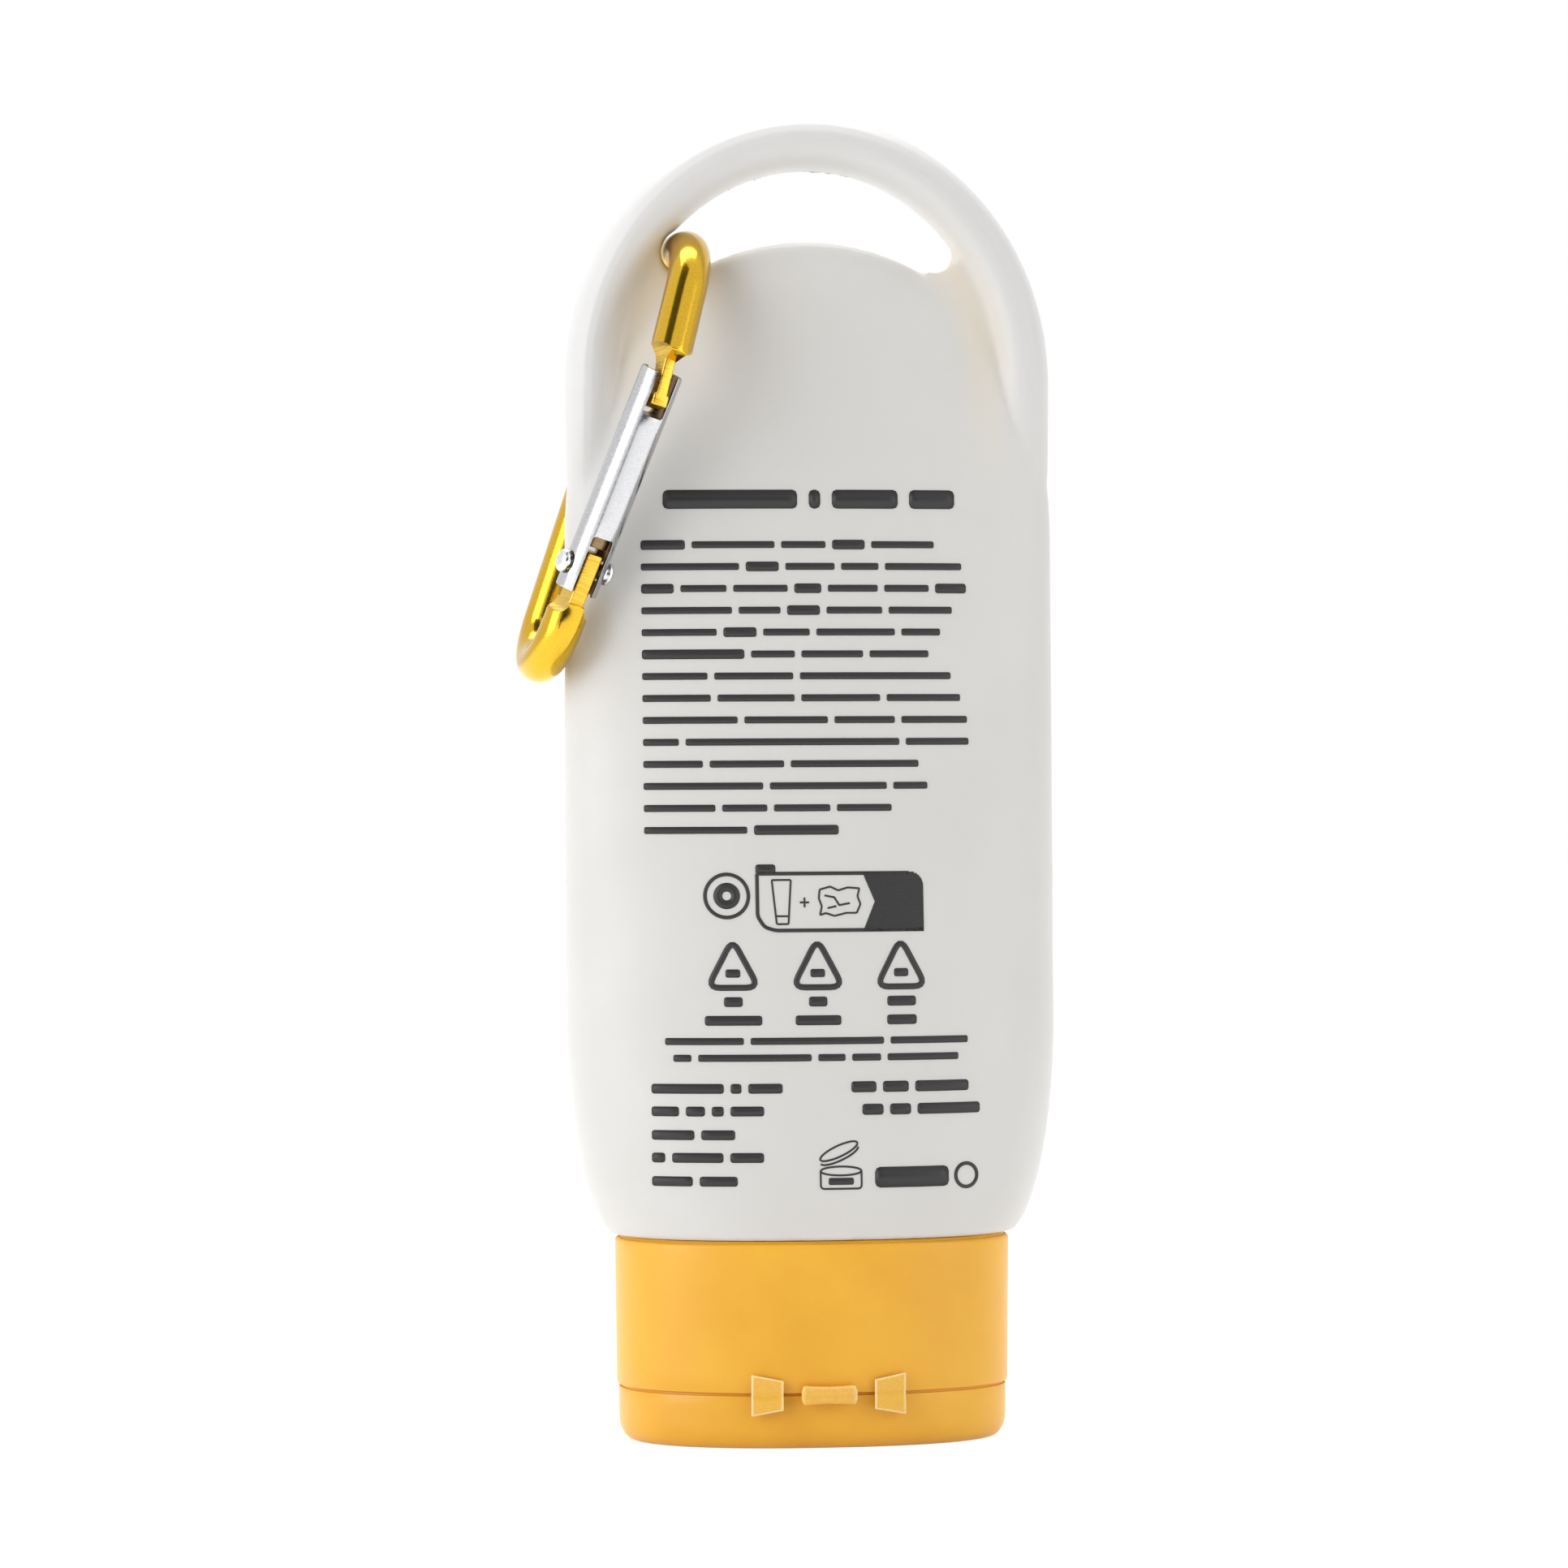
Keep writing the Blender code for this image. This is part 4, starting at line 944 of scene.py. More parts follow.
def makeSkirt(yellow):
    size = capSize
    neck = bottleSize["neckRadius"]
    bore = neck + size["fit"]
    groove = bore + bottleSize["beadHeight"]
    collar = groove + size["collarWall"]
    collarTop = deckTopZ + size["collarHeight"]
    plugRadius = neck - bottleSize["neckWall"] - size["fit"]
    plugTop = deckTopZ + size["plugHeight"]
    half = bottleSize["beadWidth"] / 2 + size["fit"]
    beadZ = bottleSize["beadZ"]
    wall, spout, corner, ease = size["skirtWall"], size["spout"], size["corner"], size["deckCorner"]
    bevel, hair, rim, lip = size["bevel"], size["hair"], size["rim"], size["rimLip"]
    # the spout, the deck's outside, and the rebate and edge that the lid closes against
    rings = [
        capCircle(size["orifice"], spoutZ), capCircle(spout - corner, spoutZ),
        capCircle(spout, spoutZ + corner), capCircle(spout, deckZ - ease),
        capCircle(spout + ease, deckZ), capOval(wall + ease, deckZ),
        capOval(wall, deckZ - ease), capOval(wall, skirtZ + bevel),
        capOval(wall - bevel, skirtZ), capOval(bevel, skirtZ), capOval(hair, skirtZ + hair),
        capOval(0, skirtZ + bevel)]
    for step in range(1, size["skirtSteps"] + 1):
        rings.append(capOval(0, skirtZ + (size["skirtHeight"] - rim) * step
                             / size["skirtSteps"]))
    for step in range(1, size["rimSteps"] + 1):
        angle = math.pi / 2 * step / size["rimSteps"]
        rings.append(capOval(rim * (1 - math.cos(angle)),
                             capTopZ - rim * (1 - math.sin(angle))))
    # the lip round the bottle, the deck's inside, the collar with its groove, and the plug
    rings += [
        capOval(lip, capTopZ), capOval(lip + bevel / 2, capTopZ + ease),
        capOval(lip + bevel, capTopZ + size["lipRise"]), capOval(wall, capTopZ + size["lipRise"]),
        capOval(wall, deckTopZ), capCircle(collar, deckTopZ),
        capCircle(collar, collarTop), capCircle(bore, collarTop), capCircle(bore, beadZ + half),
        capCircle(groove, beadZ + half / 2), capCircle(groove, beadZ - half / 2),
        capCircle(bore, beadZ - half), capCircle(bore, deckTopZ),
        capCircle(plugRadius, deckTopZ), capCircle(plugRadius, plugTop),
        capCircle(plugRadius - size["plugWall"], plugTop),
        capCircle(plugRadius - size["plugWall"], deckTopZ), capCircle(size["orifice"], deckTopZ)]
    rough = newObject("skirtRough", ringSkin("skirt", rings, ringed=True, sharp=size["sharp"]))
    radius, along = size["scoop"], size["scoopHalf"]
    edge = along - size["scoopEase"]
    scoop = newObject("scoopTool", lathe("scoop", [
        (radius, -along), (radius + ease, -edge), (radius + ease, edge), (radius, along)],
        size["scoopPoints"]))
    scoop.data.transform(Matrix.Translation((
        0, size["halfDepth"] + radius - size["scoopDepth"], skirtZ)) @ turn(90, "Y"))
    cutWith(rough, scoop)
    return newObject("capSkirt", smooth(bake(rough, "capSkirt", scoop), size["sharp"]), yellow)


def makeLid(yellow):
    size = capSize
    pinTop = spoutZ + size["pinReach"]
    step, top, floor, pin = size["lidStep"], size["lidHeight"], size["lidFloor"], size["pin"]
    wall = step + size["lidWall"]
    lip = step + size["seamLip"]
    bevel, hair, corner = size["bevel"], size["hair"], size["corner"]
    rings = [capCircle(size["pipRadius"], size["pipDepth"]),
             capCircle(size["pipRadius"] + bevel, 0)]
    for part in range(size["edgeSteps"] + 1):
        angle = math.pi / 2 * part / size["edgeSteps"]
        rings.append(capOval(step + size["edgeInset"] * (1 - math.sin(angle)),
                             size["edgeRound"] * (1 - math.cos(angle))))
    for part in range(1, size["lidSteps"] + 1):
        rings.append(capOval(step, size["edgeRound"] + (top - bevel - size["edgeRound"])
                             * part / size["lidSteps"]))
    # the lip at the seam, the inside, and the pin with its rounded tip
    rings += [
        capOval(step + hair, top - hair), capOval(step + bevel, top), capOval(lip, top),
        capOval(lip + size["lipLean"], top + size["lipEdge"]),
        capOval(lip + bevel, top + size["lipRise"]),
        capOval(wall, top + size["lipRise"]), capOval(wall, size["edgeRound"]),
        capOval(wall + size["edgeInset"] / 4, floor + corner),
        capOval(wall + size["edgeInset"] / 2, floor), capCircle(pin + corner, floor),
        capCircle(pin, floor + corner), capCircle(pin, pinTop - pin * 0.4),
        capCircle(pin * 0.85, pinTop - pin * 0.12), capCircle(pin * 0.6, pinTop)]
    return newObject("lidShell", ringSkin("lidShell", rings, sharp=size["sharp"]), yellow)


def wallY(across):
    share = min(abs(across) / capSize["halfWidth"], 1)
    return -capSize["halfDepth"] * (1 - share ** capSize["exponent"]) ** (1 / capSize["exponent"])


strapSize = dict(
    spacing=0.0063, width=0.0032, tall=0.0042, short=0.003, thick=0.0005, fold=0.00012,
    foldShare=0.16, bead=0.00009, beadShare=0.08, rowShare=0.8, clearance=0.00002, proud=0.0001,
    rim=0.00014, rows=48, columns=24, edgeRound=0.00006)


def strapTall(u):  # how tall the strap is at a share of its width
    return strapSize["short"] + (strapSize["tall"] - strapSize["short"]) * u


def makeStrap(name, side, thin):  # a folding web: wide at its outer end, thinned along its fold
    size = strapSize
    rings = []
    for row in range(size["rows"] + 1):
        v = 2 * row / size["rows"] - 1
        ring = []
        for face in (0, 1):
            columns = range(size["columns"] + 1)
            for column in (columns if face == 0 else reversed(columns)):
                u = column / size["columns"]
                across = size["spacing"] + size["width"] * (u - 0.5)
                edge = min(u, 1 - u, (1 - abs(v)) * size["rowShare"])
                bead = size["bead"] * math.exp(-(edge / size["beadShare"]) ** 2)
                thinned = size["fold"] * math.exp(-(v / size["foldShare"]) ** 2)
                if face == 0:
                    out = capSize["fit"] + size["clearance"]
                else:
                    out = capSize["fit"] + size["thick"] - size["proud"] + bead - thinned
                ring.append(Vector((side * across, wallY(across) - out,
                                    hingeZ + v * strapTall(u) / 2)))
        rings.append(ring)
    item = newObject(name, ringSkin(name, rings, sharp=50), thin)
    roundEdges(item, size["edgeRound"], 2, 50)
    mesh = bake(item, name)

    # painted highlight along the strap's edges, fading inwards
    def edgeMark(point):
        u = (abs(point.x) - size["spacing"]) / size["width"] + 0.5
        tall = strapTall(u)
        v = abs(point.z - hingeZ) / (tall / 2)
        edge = min(max(min(u, 1 - u) * size["width"], 0), max(1 - v, 0) * tall / 2)
        return math.exp(-(edge / size["rim"]) ** 2)

    paintHighlight(mesh, edgeMark)
    return newObject(name, mesh)


barrelSize = dict(
    length=0.0057, halfDepth=0.00034, halfHeight=0.00104, inset=0.0003, columns=32, sides=28,
    squareness=0.8, waist=0.14, endShare=0.05, endLow=0.12, pinch=0.00012, pinchReach=0.00022,
    tipShare=0.14, topOffset=0.0009, topReach=0.0003, swellPower=0.4, pale=0.04, paleRight=0.8,
    paleLeft=0.3, paleTop=0.25)


def makeBarrel(thin):  # the middle of the hinge: a short bar with a pinched fold and a pale tip, the paleness a painted highlight
    size = barrelSize
    rings = []
    for column in range(size["columns"] + 1):
        u = column / size["columns"]
        swell = min(1, (min(u, 1 - u) / size["endShare"] + size["endLow"])) ** size["swellPower"]
        waist = 1 - size["waist"] + size["waist"] * abs(2 * u - 1) ** 2
        ring = []
        for step in range(size["sides"]):
            angle = math.tau * step / size["sides"]
            deep = size["halfDepth"] * swell * signedPower(math.cos(angle), size["squareness"])
            high = (size["halfHeight"] * swell * waist
                    * signedPower(math.sin(angle), size["squareness"]))
            if deep < 0:
                deep += size["pinch"] * math.exp(-(high / size["pinchReach"]) ** 2)
            ring.append(Vector((size["length"] * (u - 0.5), hingeY - size["inset"] + deep,
                                hingeZ + high)))
        rings.append(ring)
    mesh = ringSkin("hingeBarrel", rings, sharp=50)

    # painted highlight: strongest at the right tip, weaker at the left tip, and along the top
    def tipMark(point):
        tip = max(abs(point.x) / (size["length"] / 2) - 1 + size["tipShare"], 0)
        top = math.exp(-((point.z - hingeZ - size["topOffset"]) / size["topReach"]) ** 2)
        most = size["paleRight"] if point.x > 0 else size["paleLeft"]
        return min(size["pale"] + most * tip / size["tipShare"] + size["paleTop"] * top, 1)

    paintHighlight(mesh, tipMark)
    return newObject("hingeBarrel", mesh, thin)


# the clip
clipSize = dict(
    tang=0.0017, tangDepth=0.0032, noseTang=0.0041, noseFoot=0.0013, noseNeck=0.0012,
    noseDepth=0.0022, shoulderDrop=0.0038, camReach=0.0017, tongueTail=0.0024, sides=64,
    endEdge=0.00012, noseScoop=0.0015, hingeScoop=0.00135, scoopHalf=0.0041, scoopPoints=70,
    tangRound=0.0002, noseReach=0.0002, play=0.0003, holeHalf=0.004, gateLength=0.0216,
    gateRadius=0.0022, gateWall=0.00045, gateTail=0.0026, gateLip=0.00014, gateSoft=0.00005,
    gatePoints=72, swingRoom=0.0006, slot=0.0023, slotRound=0.00035, slotOverrun=0.002,
    rearSlot=0.0036, noseSlot=0.0046, seat=0.0012, rivet=0.0008, headRadius=0.00125,
    headHeight=0.0008, headGap=0.00015, headEdge=0.00012, headLip=0.00004, plunger=0.0022,
    plungerEdge=0.0002, plungerDome=0.00003, wire=0.00034, coil=0.00108, turns=10, rimSteps=3,
    legSteps=12, bendSteps=72, spineSteps=20, bowSteps=64, easeSteps=10, tubeSteps=12,
    headSteps=12)
gateLean = math.atan2(clipPlace["gateReach"], clipPlace["length"] - clipPlace["noseDrop"]
                      - clipPlace["bottomBow"])
shoulderY = clipPlace["spineY"] - 2 * clipPlace["bottomBow"]
shoulderRise = clipPlace["rivetRise"] - clipPlace["bottomBow"]
clipMatrix = (Matrix.Translation((clipPlace["x"], clipPlace["y"], clipPlace["z"]))
              @ turn(clipPlace["lean"], "Y") @ turn(clipPlace["turn"], "Z")
              @ turn(-clipPlace["pitch"], "X"))
gateTurn = Matrix.Rotation(gateLean, 4, "X") @ turn(clipPlace["gateTwist"], "Z")
gateMatrix = clipMatrix @ Matrix.Translation((
    0, shoulderY - math.tan(gateLean) * shoulderRise,
    clipPlace["rivetRise"] - clipPlace["length"])) @ gateTurn
noseMatrix = (clipMatrix @ Matrix.Translation((
    0, shoulderY - clipPlace["gateReach"], -clipPlace["noseDrop"])) @ gateTurn
    @ Matrix.Rotation(-gateLean, 4, "X"))


def rodStops(hingeRise):  # the rod's path, as thick at each stop as its rounded ends allow
    place = clipPlace
    topBow, bottomBow = place["topBow"], place["bottomBow"]
    splay = math.radians(place["splay"])
    topY = place["spineY"] - topBow
    outward = Vector((0, -math.sin(splay), -math.cos(splay)))
    legTop = Vector((0, topY - topBow * math.cos(splay), topBow * (math.sin(splay) - 1)))
    leg = (place["noseDrop"] + legTop.z) / math.cos(splay) - clipSize["noseReach"]
    edge, rim, legSteps = clipSize["endEdge"], clipSize["rimSteps"], clipSize["legSteps"]
    bend, spine, bow = clipSize["bendSteps"], clipSize["spineSteps"], clipSize["bowSteps"]
    ease = clipSize["easeSteps"]
    # from the nose up the leg, round the top bend, down the spine and round the lower bow
    points = [legTop + outward * leg]
    points += [legTop + outward * (leg - edge * part / rim) for part in range(1, rim + 1)]
    points += [legTop + outward * (leg - edge) * (1 - part / legSteps)
               for part in range(1, legSteps)]
    for step in range(bend + 1):
        angle = splay + (math.pi - splay) * step / bend
        points.append(Vector((0, topY - topBow * math.cos(angle),
                              -topBow + topBow * math.sin(angle))))
    bowY = place["spineY"] - bottomBow
    bowZ = bottomBow - place["length"]
    last = points[-1]
    first = Vector((0, bowY + bottomBow, bowZ))
    for step in range(1, spine):
        points.append(last.lerp(first, step / spine))
    for step in range(bow + 1):
        angle = (math.pi - gateLean) * step / bow
        points.append(Vector((0, bowY + bottomBow * math.cos(angle),
                              bowZ - bottomBow * math.sin(angle))))
    # eases from the bow onto the gate's line, and ends in a rounded rim
    last = points[-1]
    toGate = Vector((0, -math.sin(gateLean), math.cos(gateLean)))
    end = Vector((0, bowY - bottomBow, bowZ)) + toGate * hingeRise
    reach = (end - last).dot(toGate) - edge
    aside = end - last - toGate * (reach + edge)
    for part in range(1, ease + 1):
        share = part / ease
        points.append(last + toGate * reach * share + aside * share ** 2 * (3 - 2 * share))
    points += [end - toGate * edge * (1 - part / rim) for part in range(1, rim + 1)]
    stops = []
    total = [0.0]
    for before, after in zip(points, points[1:]):
        total.append(total[-1] + (after - before).length)
    for index, point in enumerate(points):
        before = points[max(index - 1, 0)]
        after = points[min(index + 1, len(points) - 1)]
        inside = 1 - min(min(total[index], total[-1] - total[index]) / edge, 1)
        radius = place["rod"] - edge * (1 - math.sqrt(max(1 - inside ** 2, 0)))
        stops.append((point, (after - before).normalized(), radius, radius))
    return stops


def placed(name, mesh, matrix, *finishes):
    mesh.transform(matrix)
    return newObject(name, mesh, *finishes)


def scoopTools(name, matrix, half, radius, end, finish):  # mill a rod's end down to its tang
    reach = clipSize["scoopHalf"]
    return [placed(name, lathe(name, [(radius, -reach), (radius, reach)], clipSize["scoopPoints"]),
                   matrix @ Matrix.Translation((side * (half + radius), 0, end)) @ turn(90, "X"),
                   finish) for side in (-1, 1)]


def rivetHole(name, matrix):
    radius, reach = clipSize["rivet"] + clipSize["play"], clipSize["holeHalf"]
    return placed(name + "Tool", lathe(name, [(radius, -reach), (radius, reach)]),
                  matrix @ turn(90, "Y"))


def makeHook(gold, machined):
    size = clipSize
    hingeRise = shoulderRise / math.cos(gateLean) - size["shoulderDrop"]
    rod = placed("rodRough", ringSkin("rod", sweepRings(
        rodStops(hingeRise), Vector((1, 0, 0)), size["sides"]), sharp=35), clipMatrix, gold)
    tongueLow = -size["shoulderDrop"] - size["tongueTail"]
    noseTop = clipPlace["rod"]
    tangs = [placed(name + "Tool", block(name, (width, depth, high - low),
                                         (0, 0, (high + low) / 2)), matrix, machined)
             for name, width, depth, low, high, matrix in (
                 ("tongue", size["tang"], size["tangDepth"], tongueLow, size["camReach"],
                  gateMatrix),
                 ("neck", size["noseNeck"], size["noseDepth"], -size["noseTang"], noseTop,
                  noseMatrix),
                 ("foot", size["tang"], size["noseDepth"],
                  -size["noseTang"] - size["noseFoot"] / 2,
                  -size["noseTang"] + size["noseFoot"] / 2, noseMatrix))]
    hole = rivetHole("tongueHole", gateMatrix)
    scoops = scoopTools("noseScoop", noseMatrix, size["noseNeck"] / 2, size["noseScoop"], 0.0,
                        machined)
    scoops += scoopTools("hingeScoop", gateMatrix, size["tang"] / 2, size["hingeScoop"],
                         -size["shoulderDrop"], machined)
    for item in scoops:
        cutWith(rod, item, materials="TRANSFER")
    for item in tangs:
        roundEdges(item, size["tangRound"])
        cutWith(rod, item, "UNION", "TRANSFER")
    cutWith(rod, hole, materials="TRANSFER")
    return newObject("clipHook", smooth(bake(rod, "clipHook", *tangs, hole, *scoops), 35))


def makeGate(bright, inside):
    size = clipSize
    outer = size["gateRadius"]
    bore = outer - size["gateWall"]
    low, high = -size["gateTail"], size["gateLength"]
    floor = high - size["noseSlot"] - size["seat"]
    lip = size["gateLip"]
    eased = lip * roundShare
    steps = size["tubeSteps"]
    tube = newObject("tubeRough", lathe("tube", [
        (bore, floor), (bore, low + lip / 2), (bore + lip / 2, low), (outer - lip, low),
        (outer - eased, low + eased), (outer, low + lip),
        *((outer, low + lip + (high - low - 2 * lip) * step / steps)
          for step in range(1, steps)),
        (outer, high - lip), (outer - eased, high - eased), (outer - lip, high),
        (bore + lip / 2, high), (bore, high - lip / 2), (bore, floor + size["seat"])],
        size["gatePoints"]), bright, inside)
    # the bore's faces take the inside finish, dark with painted shade
    for face in tube.data.polygons:
        middle = math.hypot(face.center.x, face.center.y)
        face.material_index = 1 if middle < (outer + bore) / 2 else 0
    over = size["slotOverrun"]
    slots = []
    for name, z0, z1 in (("noseSlotTool", high - size["noseSlot"], high + over),
                         ("rearSlotTool", low - over, size["rearSlot"])):
        slot = newObject(name, block(name, (size["slot"], 2 * outer + over, z1 - z0),
                                     (0, 0, (z0 + z1) / 2)), inside)
        roundEdges(slot, size["slotRound"], 4)
        slots.append(slot)
    hole = rivetHole("gateHole", Matrix())
    for item in (*slots, hole):
        cutWith(tube, item)
    soft = newObject("tubeSoft", bake(tube, "gateTube", hole, *slots))
    roundEdges(soft, size["gateSoft"], 2, 50)
    mesh = bake(soft, "gateTube")
    mesh.transform(gateMatrix)
    return newObject("gateTube", smooth(mesh, 40))


def makeRivet(steel):
    size = clipSize
    seat = size["gateRadius"] + size["headGap"]
    edge, lip, head = size["headEdge"], size["headLip"], size["headRadius"]
    profile = []
    for step in range(1, size["headSteps"] + 1):
        angle = math.pi / 2 * step / size["headSteps"]
        profile.append((head * math.sin(angle),
                        seat + edge + (size["headHeight"] - edge) * math.cos(angle)))
    profile += [(head, seat + lip), (head - lip, seat), (size["rivet"], seat)]
    full = profile + [(radius, -along) for radius, along in reversed(profile)]
    return placed("rivetPin", lathe("rivetPin", list(reversed(full)), 48, 40),
                  gateMatrix @ turn(90, "Y"), steel)


def makePlunger(shadedBrass):
    size = clipSize
    low = size["camReach"] + size["swingRoom"]
    high = low + size["plunger"]
    radius = size["gateRadius"] - size["gateWall"] - size["play"]
    edge = size["plungerEdge"]
    eased = edge * roundShare
    return placed("plungerPin", lathe("plungerPin", [
        (radius * 0.5, low), (radius - edge, low + size["plungerDome"]),
        (radius - eased, low + edge * 0.4), (radius, low + edge), (radius, high - edge),
        (radius - eased, high - eased), (radius - edge, high)]), gateMatrix, shadedBrass)


def makeCoilTree():
    tree, given, result = geometryTree("coilSpring", [
        ("Turns", "Float"), ("Coil Radius", "Float"), ("Wire Radius", "Float"),
        ("Length", "Float"), ("Start", "Float"), ("Finish", "Material")])
    spiral = addNode(tree, "GeometryNodeCurveSpiral", {
        "Resolution": 28, "Rotations": given["Turns"], "Start Radius": given["Coil Radius"],
        "End Radius": given["Coil Radius"], "Height": given["Length"]})
    wire = addNode(tree, "GeometryNodeCurvePrimitiveCircle",
                   {"Resolution": 12, "Radius": given["Wire Radius"]})
    tube = addNode(tree, "GeometryNodeCurveToMesh", {
        "Curve": spiral, "Profile Curve": wire, "Fill Caps": True})
    up = addNode(tree, "ShaderNodeCombineXYZ", {"Z": given["Start"]})
    move = addNode(tree, "GeometryNodeTransform", {"Geometry": tube, "Translation": up})
    return endTree(tree, move, given["Finish"], result)


def makeCoil(springSteel):
    size = clipSize
    half = size["wire"] / 2
    start = size["camReach"] + size["swingRoom"] + size["plunger"] + size["play"] + half
    end = size["gateLength"] - size["noseSlot"] - size["seat"] - size["play"] - half
    seed = newObject("coilSeed", bpy.data.meshes.new("coilSeed"))
    mesh = runTree(seed, makeCoilTree(), {
        "Turns": float(size["turns"]), "Coil Radius": size["coil"], "Wire Radius": half,
        "Length": end - start, "Start": start, "Finish": springSteel}, "gateCoil")
    return placed("gateCoil", smooth(mesh), gateMatrix)


# building it

clipAxis = (clipMatrix.to_3x3() @ Vector((0, 0, 1))).normalized()
gateAxis = (gateMatrix.to_3x3() @ Vector((0, 0, 1))).normalized()
white = makeWhitePlastic()
yellow = makeYellowPlastic()
thin = makeThinPlastic()

bottle = makeBottle(white)
print("bottle", len(bottle.data.polygons), "faces")
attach(bottle, "bottle_body")
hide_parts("bottle")

flash = makeFlash(white)
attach(flash, "bottle_body")

marks = makePrint(makeInk(), bottle)
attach(marks, "bottle_body")

skirt = makeSkirt(yellow)
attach(skirt, "bottle_body")
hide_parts("cap_base")
print("cap skirt done")

lid = makeLid(yellow)
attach(lid, "lid")
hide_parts("cap_lid")

barrel = makeBarrel(thin)
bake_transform(barrel)
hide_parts("living_hinge")
for side, word, node in ((-1, "strapLeft", "butterfly_strap_left"),
                         (1, "strapRight", "butterfly_strap_right")):
    strap = makeStrap(word, side, thin)
    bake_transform(strap)
    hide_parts(node)
print("cap hinge done")

hook = makeHook(makeMetal("goldAnodised", clipAxis), makeMetal("machinedGold", clipAxis))
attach(hook, "carabiner")
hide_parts("carabiner_hook")
gate = makeGate(makeMetal("drawnAluminium", gateAxis), makeMetal("paintedShadeGateInside", gateAxis))
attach(gate, "gate")
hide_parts("gate_tube")
rivet = makeRivet(makeMetal("rivetSteel", (1.0, 0.0, 0.0)))
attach(rivet, "carabiner")
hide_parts("gate_rivet")
plunger = makePlunger(makeMetal("paintedShadeBrass", gateAxis))
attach(plunger, "gate")
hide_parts("gate_plunger")
coil = makeCoil(makeMetal("springWire", gateAxis))
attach(coil, "gate")
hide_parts("gate_spring")
print("clip done")

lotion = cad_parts["lotion"]
lotion.data.materials.clear()
lotion.data.materials.append(makeLotion())


# the studio
studio = dict(
    cameraTurn=-7.0, cameraHeight=0.0677, cameraDistance=0.585, lens=129.0, roll=0.27,
    shiftX=-31.5 / 1932, worldLevel=0.735, floorWhite=0.62, floorRadius=3.0, cardThickness=0.005,
    clipStart=0.01)
# each lamp's place, what it faces, its width, height, power and colour
lamps = (
    ("keyLeft", (-0.65, -0.35, 0.35), (0, 0, 0.07), 0.5, 0.8, 3.55, (1.0, 1.0, 1.0)),
    ("fillRight", (0.7, -0.45, 0.3), (0, 0, 0.07), 0.4, 0.7, 1.5, (1.0, 0.97, 0.93)),
    ("topSoft", (0.0, 0.25, 0.75), (0, 0, 0.08), 0.6, 0.4, 3.0, (1.0, 1.0, 1.0)))
# The dim side of the studio behind the camera, and two flags that draw the dark lines seen in
# the rod and in the gate. Each is a place, what it faces, its width and its height.
cards = (
    ("dimCard", (-0.1, -1.0, 0.36), (-0.1, 0.0, 0.36), 0.9, 0.66),
    ("rodFlag", (-0.19, -0.23, 0.64), (-0.015, -0.01, 0.115), 0.34, 0.5),
    ("gateFlag", (-0.157, -0.327, 0.075), (-0.02, -0.01, 0.075), 0.04, 0.17))
plainWhite = (1.0, 1.0, 1.0, 1.0)


def makeCamera():
    camera = newObject("photoCamera", bpy.data.cameras.new("photoCamera"))
    angle = math.radians(studio["cameraTurn"])
    camera.location = (math.sin(angle) * studio["cameraDistance"],
                       -math.cos(angle) * studio["cameraDistance"], studio["cameraHeight"])
    camera.rotation_euler = (turn(studio["cameraTurn"], "Z") @ turn(90, "X")
                             @ turn(-studio["roll"], "Z")).to_euler()
    camera.data.lens = studio["lens"]
    camera.data.sensor_width = 36.0
    camera.data.sensor_fit = "HORIZONTAL"
    camera.data.shift_x = studio["shiftX"]
    camera.data.clip_start = studio["clipStart"]
    scene.camera = camera


def seenDirectly(tree):  # 1 where the camera, a mirror or a clear piece looks straight at it
    path = addNode(tree, "ShaderNodeLightPath").outputs
    either = mathOf(tree, "MAXIMUM", path["Is Camera Ray"], path["Is Glossy Ray"])
    return mathOf(tree, "MAXIMUM", either, path["Is Transmission Ray"])


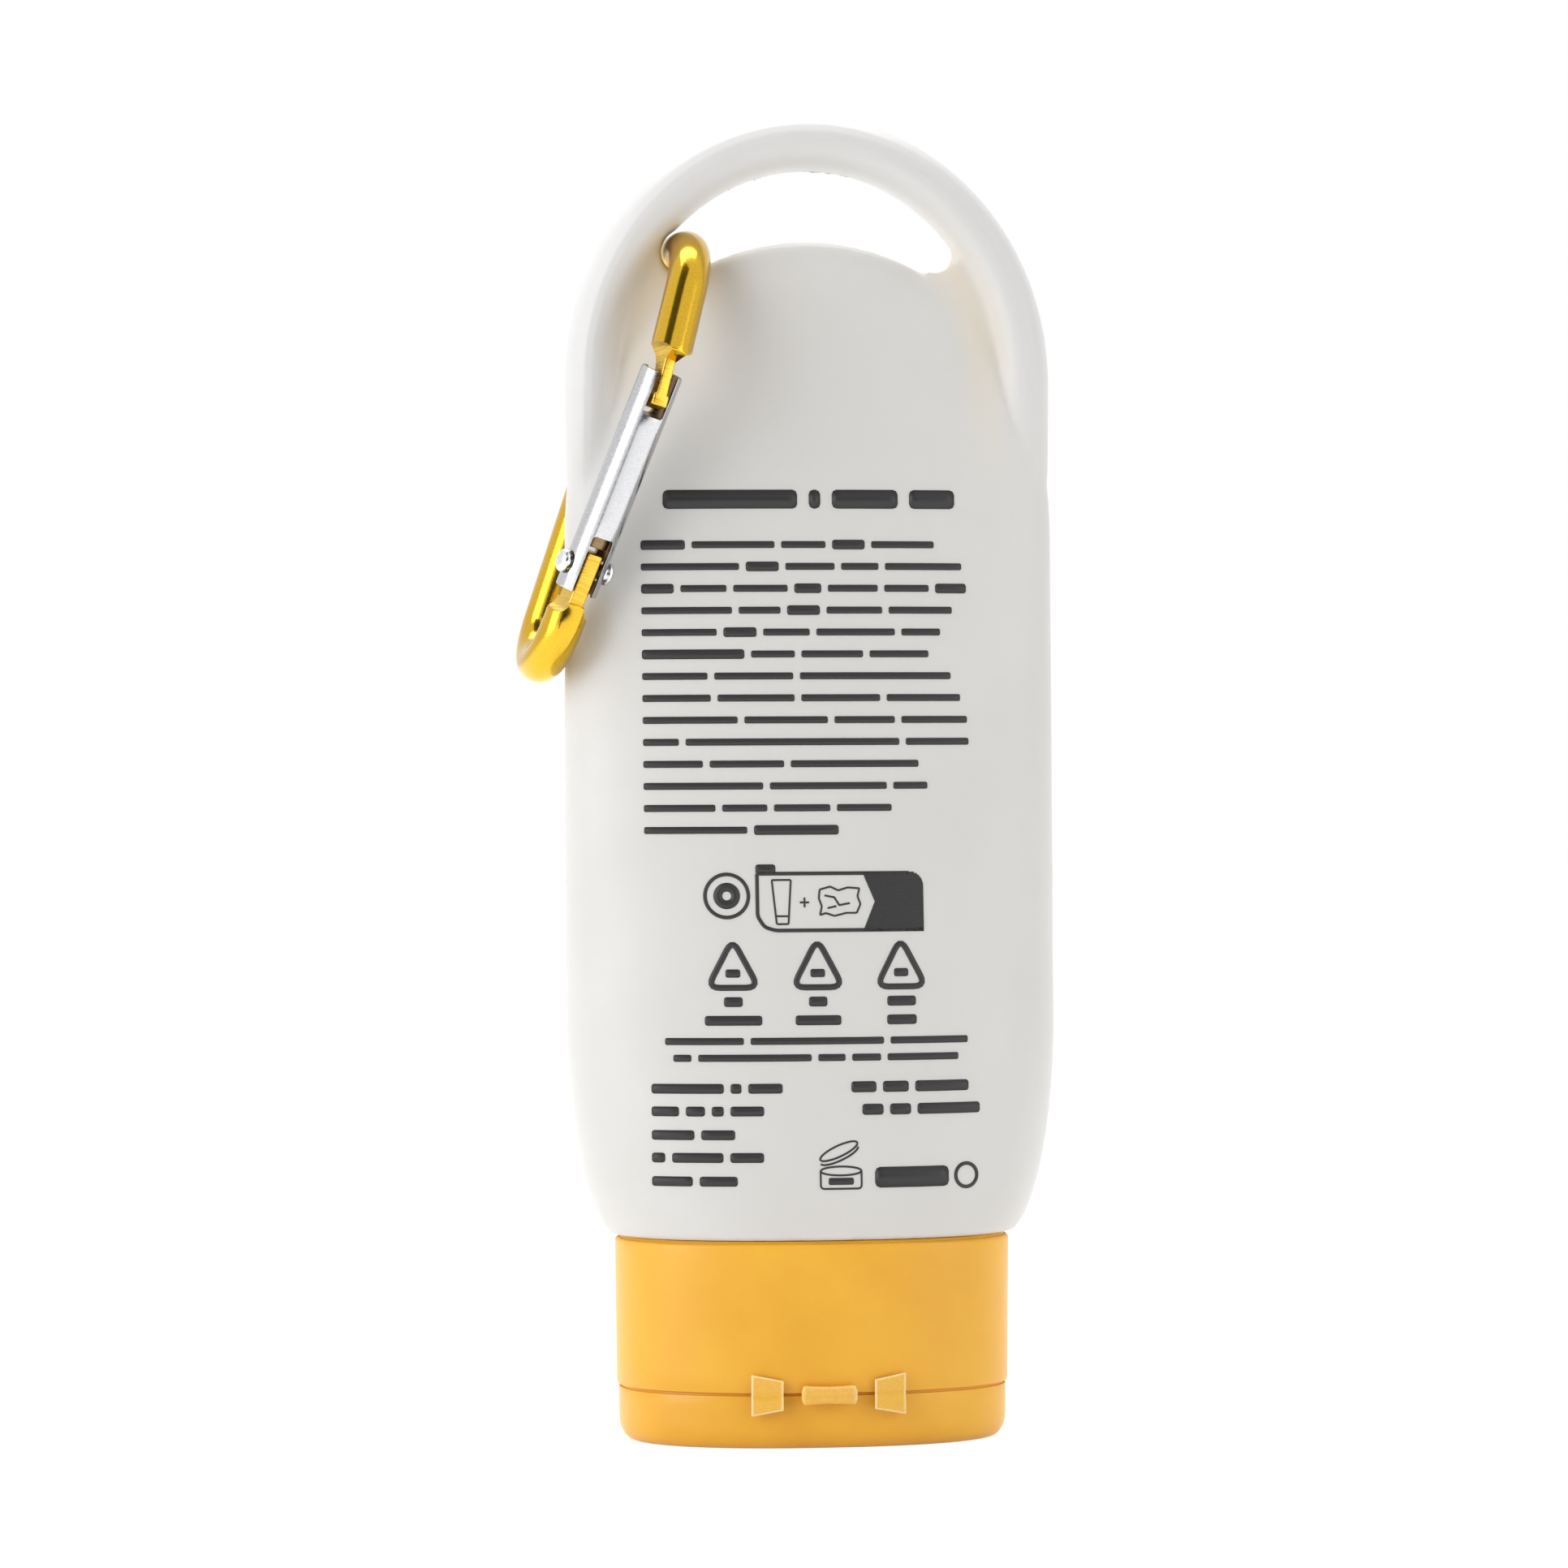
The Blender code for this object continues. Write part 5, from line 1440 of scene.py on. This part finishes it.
def paperMaterial(name, scale, low, high):  # a matt grey, faintly clouded
    made, tree, shader, position = newMaterial(name, Roughness=0.9, Specular_IOR_Level=0.0)
    cloud = addNode(tree, "ShaderNodeTexNoise", {"Vector": position, "Scale": scale})
    plug(tree, mixColours(tree, cloud.outputs["Fac"], (low,) * 3, (high,) * 3),
         shader["Base Color"])
    return made, tree, shader


def makeFloor():
    made, tree, shader = paperMaterial("paleFloor", 6.0, 0.8, 0.81)
    shader["Emission Color"].default_value = plainWhite
    plug(tree, productOf(tree, seenDirectly(tree), studio["floorWhite"]),
         shader["Emission Strength"])
    work = bmesh.new()
    bmesh.ops.create_circle(work, cap_ends=True, segments=96, radius=studio["floorRadius"])
    floor = newObject("floor", meshOf("floor", work), made)


def facing(place, aim):
    return (Vector(aim) - Vector(place)).to_track_quat("-Z", "Y")


def makeCards():
    made = paperMaterial("dimCard", 2.0, 0.07, 0.11)[0]
    for name, place, aim, width, height in cards:
        mesh = block(name, (width, height, studio["cardThickness"]), (0, 0, 0))
        card = placed(name, mesh, Matrix.Translation(place)
                      @ facing(place, aim).to_matrix().to_4x4(), made)
        card.visible_camera = False  # only seen in reflections


def makeLamps():
    for name, place, aim, width, height, power, colour in lamps:
        data = bpy.data.lights.new(name, "AREA")
        data.shape = "RECTANGLE"
        data.size = width
        data.size_y = height
        data.energy = power
        data.color = colour
        lamp = newObject(name, data)
        lamp.location = place
        lamp.rotation_euler = facing(place, aim).to_euler()


def makeWorld():
    world = bpy.data.worlds.new("studio")
    scene.world = world
    world.use_nodes = True
    tree = world.node_tree
    lit = tree.nodes["Background"]
    lit.inputs["Color"].default_value = plainWhite
    lit.inputs["Strength"].default_value = studio["worldLevel"]
    seen = addNode(tree, "ShaderNodeBackground", {"Color": plainWhite, "Strength": 1.0})
    mix = addNode(tree, "ShaderNodeMixShader", {"Fac": seenDirectly(tree), 1: lit, 2: seen})
    plug(tree, mix, tree.nodes["World Output"].inputs["Surface"])


makeCamera()
makeFloor()
makeWorld()
makeCards()
makeLamps()
scene.view_settings.view_transform = "Standard"
print("studio done")
